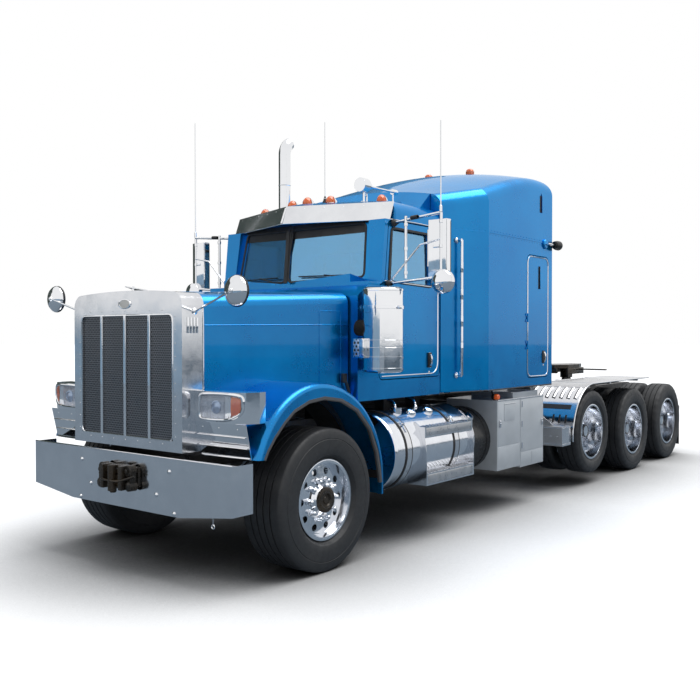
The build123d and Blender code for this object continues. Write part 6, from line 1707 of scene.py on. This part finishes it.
class TRUCK_OT_seats(bpy.types.Operator):
    """Padded seats on their pedestals, and the bunk with its mattress"""
    bl_idname = "truck.seats"
    bl_label = "Seats and bunk"

    def execute(self, context):
        for side, sign in SIDES:
            base = Shape()
            cushion(base, (0.215, 0.705), (1.325, 1.795), (1.575, 1.680), 0.016, (-0.55, 0.0, 0.55))
            piece = base.done(
                f"seat_cushion_{side}", "chassis", "seat_fabric", "seat_fabric", sign,
                ("seats",) if side == "left" else (), 60.0,
            )
            back = Shape()
            cushion(back, (0.215, 0.705), (1.700, 1.790), (1.715, 2.370), 0.020, (-0.55, 0.55), along="z")
            back.done(
                f"seat_back_{side}", "chassis", "seat_fabric", "seat_fabric", sign, (), 60.0,
            )
            rest = Shape()
            cushion(rest, (0.375, 0.545), (1.690, 1.712), (2.205, 2.345), 0.006, along="z", steps=12)
            rest.done(
                f"head_pad_{side}", "chassis", "seat_fabric", "cab_trim", sign, (), 60.0,
            )
            stand = Shape()
            for count in range(5):
                low = 1.300 + 0.048 * count
                stand.block((0.320, 0.600), (1.42, 1.72), (low, low + 0.040), 0.014)
            stand.block((0.310, 0.610), (1.405, 1.735), (1.247, 1.298), 0.008)
            stand.block((0.235, 0.685), (1.345, 1.785), (1.540, 1.572), 0.010)
            for x in (0.24, 0.68):
                stand.tube(((x, 1.40, 1.565), (x, 1.72, 1.565)), 0.010, 0, 8)
            stand.tube(((0.708, 1.60, 1.80), (0.712, 1.45, 1.86), (0.712, 1.42, 1.865)), 0.022, 0.04, 10)
            stand.done(f"seat_stand_{side}", "chassis", "cab_trim", "cab_trim", sign)
        bunk = Shape()
        bunk.block((-1.078, 1.078), (2.952, 3.750), (1.258, 1.640), 0.012)
        for x in (-0.72, 0.0, 0.72):
            bunk.block((x - 0.32, x + 0.32), (2.946, 2.953), (1.32, 1.60), 0.002)
            bunk.tube(((x - 0.06, 2.944, 1.56), (x + 0.06, 2.944, 1.56)), 0.006, 0, 8)
        bunk.done("bunk_base", "chassis", "cab_trim")
        pad = Shape()
        cushion(pad, (-1.072, 1.072), (2.956, 3.745), (1.642, 1.790), 0.008, (-0.6, -0.2, 0.2, 0.6), 24)
        pad.done("mattress", "chassis", "seat_fabric", "mattress_cloth", 1, (), 60.0)
        return {"FINISHED"}


DIALS = (                      # x, z and radius of each gauge
    (0.36, 1.965, 0.055), (0.54, 1.965, 0.055), (0.24, 1.99, 0.028), (0.68, 1.99, 0.028),
    (0.24, 1.91, 0.028), (0.68, 1.91, 0.028), (-0.07, 1.99, 0.028), (0.07, 1.99, 0.028),
)


class TRUCK_OT_dashboard(bpy.types.Operator):
    """Gauges, vents, switches and glove box of the dashboard, gear lever and steering wheel pad"""
    bl_idname = "truck.dashboard"
    bl_label = "Dashboard"

    def execute(self, context):
        panel = Shape()
        panel.block((0.17, 0.78), (1.238, 1.250), (1.825, 2.070), 0.010)
        panel.block((-0.14, 0.14), (1.238, 1.248), (1.800, 2.060), 0.008)
        panel.block((-0.80, -0.22), (1.238, 1.246), (1.790, 1.990), 0.008)
        panel.tube(((-0.56, 1.252, 1.93), (-0.46, 1.252, 1.93)), 0.008, 0, 8)
        panel.block((-0.86, 0.86), (1.10, 1.235), (2.098, 2.112), 0.012)
        for x in (-0.80, -0.25, 0.0, 0.82):
            for count in range(4):
                panel.block(
                    (x - 0.035, x + 0.035), (1.246, 1.256), (2.020 + 0.012 * count, 2.026 + 0.012 * count),
                    0.002,
                )
        panel.tube(((0.05, 1.36, 1.30), (0.05, 1.40, 1.70), (0.05, 1.38, 1.86)), 0.010, 0.1, 10)
        panel.turned(((-0.03, 0.014), (0.0, 0.026), (0.03, 0.024), (0.04, 0)), (0.05, 1.378, 1.875), UP, 20)
        panel.turned(((0, 0.075), (0.03, 0.06), (0.08, 0.02)), (0.05, 1.36, 1.245), UP, 24)
        panel.done("dash_panels", "chassis", "cab_trim")
        dials, rings = Shape(), Shape()
        for x, z, size in DIALS:
            at = (x, 1.2500, z)
            dials.turned(((0.001, size), (0.003, size * 0.9), (0.003, 0)), at, BACK, 32)
            rings.turned(
                ((0, size + 0.004), (0.006, size + 0.002), (0.005, size - 0.003), (0, size - 0.003)),
                at, BACK, 32,
            )
        dials.done("dash_dials", "chassis", "cab_trim", "gauge_face")
        rings.done("dash_rings", "chassis", "chrome")
        hub = Shape()
        axis = Vector((0, 0.5, 0.8660254))     # the wheel leans 30 degrees from the vertical
        middle = Vector((0.46, 1.385, 2.040))
        hub.turned(((0.028, 0.060), (0.040, 0.058), (0.046, 0.045), (0.047, 0)), middle, axis, 32)
        for turn in range(3):
            angle = radians(90 + 120 * turn)
            spoke = Vector((cos(angle), -0.8660254 * sin(angle), 0.5 * sin(angle)))
            hub.tube(
                (middle + axis * 0.012 + spoke * 0.05, middle + axis * 0.008 + spoke * 0.21), 0.009, 0, 8,
            )
        hub.done("steering_pad", "steering_wheel", "cab_trim")
        return {"FINISHED"}


# ---- the stage ---------------------------------------------------------------------------------
EYE = (5.166, -4.805, 1.731)           # the camera, from the ground under the front axle's middle
EYE_TURN, EYE_DROP = 38.194, 0.93      # degrees to the side of straight back, and down
FLOOR_REACH = 150.0
CARDS = (                      # seen in reflections only: name, foot's two ends, height, tone
    ("shade_left", (17.0, -20.0), (19.0, 30.0), 1.1, (0.16, 0.22, 0.28)),
    ("shade_front", (-24.0, -19.0), (9.0, -26.0), 2.4, (0.30, 0.45, 0.60)),
    ("shade_right", (-19.0, 30.0), (-24.0, -19.0), 16.0, (0.07, 0.09, 0.08)),
)


class TRUCK_OT_stage(bpy.types.Operator):
    """Floor with a painted contact shadow under the truck, lamps, background and camera"""
    bl_idname = "truck.stage"
    bl_label = "Stage"

    def execute(self, context):
        settings = context.scene.truck_stage
        scene = context.scene
        floor = bpy.data.meshes.new("floor")
        reach = FLOOR_REACH
        floor.from_pydata(
            [(-reach, -reach, 0), (reach, -reach, 0), (reach, reach, 0), (-reach, reach, 0)], [],
            [(0, 1, 2, 3)],
        )
        ground = placed("floor", floor)
        paper = bpy.data.materials.new("studio floor")
        paper.use_nodes = True
        tree = paper.node_tree
        shader = tree.nodes["Principled BSDF"]
        shader.inputs["Roughness"].default_value = 0.9
        shader.inputs["Specular IOR Level"].default_value = 0.1
        place = node(tree, "TexCoord").outputs["Object"]
        grain = node(tree, "TexNoise", [(place, "Vector")], Scale=0.6, Detail=4.0).outputs["Fac"]
        path = node(tree, "LightPath")
        # The camera sees the floor in a colour that darkens with ambient occlusion, a painted contact shadow
        # under the truck. Other rays see a pale grey, and reflections a dark tone.
        near = node(tree, "AmbientOcclusion", Distance=1.7)
        near.samples = 12
        painted_contact_shadow = maths(tree, "POWER", near.outputs["AO"])
        painted_contact_shadow.node.inputs[1].default_value = 1.5
        pale = node(tree, "MapRange", [(grain, "Value")], **{"To_Min": 0.50, "To_Max": 0.56})
        level = node(
            tree, "Mix",
            [(path.outputs["Is Camera Ray"], "Factor"), (pale.outputs["Result"], 2), (painted_contact_shadow, 3)],
            data_type="FLOAT",
        )
        mirrored = node(
            tree, "Mix", [(path.outputs["Is Glossy Ray"], "Factor"), (level.outputs[0], 6)],
            data_type="RGBA",
        )
        mirrored.inputs[7].default_value = (0.17, 0.21, 0.25, 1)
        tree.links.new(mirrored.outputs[2], shader.inputs["Base Color"])
        floor.materials.append(paper)

        for name, first, last, tall, tone in CARDS:
            card = bpy.data.meshes.new(name)
            card.from_pydata([(*first, 0), (*last, 0), (*last, tall), (*first, tall)], [], [(0, 1, 2, 3)])
            piece = placed(name, card)
            deep = tuple(part * 0.75 for part in tone)
            cloth = finish(name.replace("_", " "), tone, deep, 0.9, 0.05, patch=3.0, grain=0.3)
            card.materials.append(cloth)
            for ray in ("camera", "diffuse", "shadow", "transmission"):
                setattr(piece, f"visible_{ray}", False)

        world = bpy.data.worlds.new("studio")
        scene.world = world
        world.use_nodes = True
        tree = world.node_tree
        light = tree.nodes["Background"]
        light.inputs["Color"].default_value = (0.93, 0.96, 1.0, 1)
        light.inputs["Strength"].default_value = settings.ambient
        white = node(tree, "Background")
        white.inputs["Color"].default_value = (1, 1, 1, 1)
        white.inputs["Strength"].default_value = 1.0
        path = node(tree, "LightPath")
        seen = maths(tree, "MAXIMUM", path.outputs["Is Camera Ray"], path.outputs["Is Glossy Ray"])
        through = maths(tree, "MAXIMUM", seen, path.outputs["Is Transmission Ray"])
        mixed = node(tree, "MixShader", [(through, 0), (light.outputs[0], 1), (white.outputs[0], 2)])
        tree.links.new(mixed.outputs[0], tree.nodes["World Output"].inputs["Surface"])

        key = bpy.data.lights.new("key", "SUN")
        key.energy = settings.key
        key.angle = radians(50)
        placed("key", key).rotation_euler = (radians(-14), radians(16), 0)

        lens = bpy.data.cameras.new("camera")
        lens.lens = settings.lens
        lens.sensor_width = 36
        lens.clip_end = 500
        camera = placed("camera", lens)
        camera.location = (EYE[0], EYE[1] + FRONT_AXLE, EYE[2])
        turn, drop = radians(EYE_TURN), radians(EYE_DROP)
        look = Vector((-sin(turn) * cos(drop), cos(turn) * cos(drop), -sin(drop)))
        camera.rotation_mode = "QUATERNION"
        camera.rotation_quaternion = look.to_track_quat("-Z", "Y")
        scene.camera = camera
        scene.view_settings.view_transform = "Standard"
        return {"FINISHED"}


STEPS = (
    TRUCK_OT_finishes, TRUCK_OT_tyres, TRUCK_OT_wheel_fittings, TRUCK_OT_headlights, TRUCK_OT_grille,
    TRUCK_OT_bumper, TRUCK_OT_fender_mirrors, TRUCK_OT_hood_trim, TRUCK_OT_windshield, TRUCK_OT_doors,
    TRUCK_OT_door_mirrors, TRUCK_OT_roof_lamps, TRUCK_OT_visor, TRUCK_OT_air_cleaners, TRUCK_OT_tanks,
    TRUCK_OT_boxes, TRUCK_OT_rear_fenders, TRUCK_OT_fifth_wheel, TRUCK_OT_chassis, TRUCK_OT_tail,
    TRUCK_OT_stack, TRUCK_OT_sleeper, TRUCK_OT_seats, TRUCK_OT_dashboard, TRUCK_OT_stage,
)
GROUPS = (
    ("truck_paint", TruckPaint), ("truck_wheels", TruckWheels), ("truck_trim", TruckTrim),
    ("truck_stage", TruckStage),
)


class TRUCK_PT_parts(bpy.types.Panel):
    """The truck's settings and its pieces"""
    bl_idname = "TRUCK_PT_parts"
    bl_label = "Truck tractor"
    bl_space_type = "VIEW_3D"
    bl_region_type = "UI"
    bl_category = "Truck"

    def draw(self, context):
        for name, group in GROUPS:
            box = self.layout.box()
            for setting in group.__annotations__:
                box.prop(getattr(context.scene, name), setting)
        for step in STEPS:
            self.layout.operator(step.bl_idname, text=step.bl_label)


def register():
    for name, group in GROUPS:
        bpy.utils.register_class(group)
        setattr(bpy.types.Scene, name, bpy.props.PointerProperty(type=group))
    for step in STEPS:
        bpy.utils.register_class(step)
    bpy.utils.register_class(TRUCK_PT_parts)


def unregister():
    bpy.utils.unregister_class(TRUCK_PT_parts)
    for step in reversed(STEPS):
        bpy.utils.unregister_class(step)
    for name, group in reversed(GROUPS):
        delattr(bpy.types.Scene, name)
        bpy.utils.unregister_class(group)


def main():
    register()
    for step in STEPS:
        call = bpy.ops
        for word in step.bl_idname.split("."):
            call = getattr(call, word)
        call()


if __name__ == "__main__":
    main()
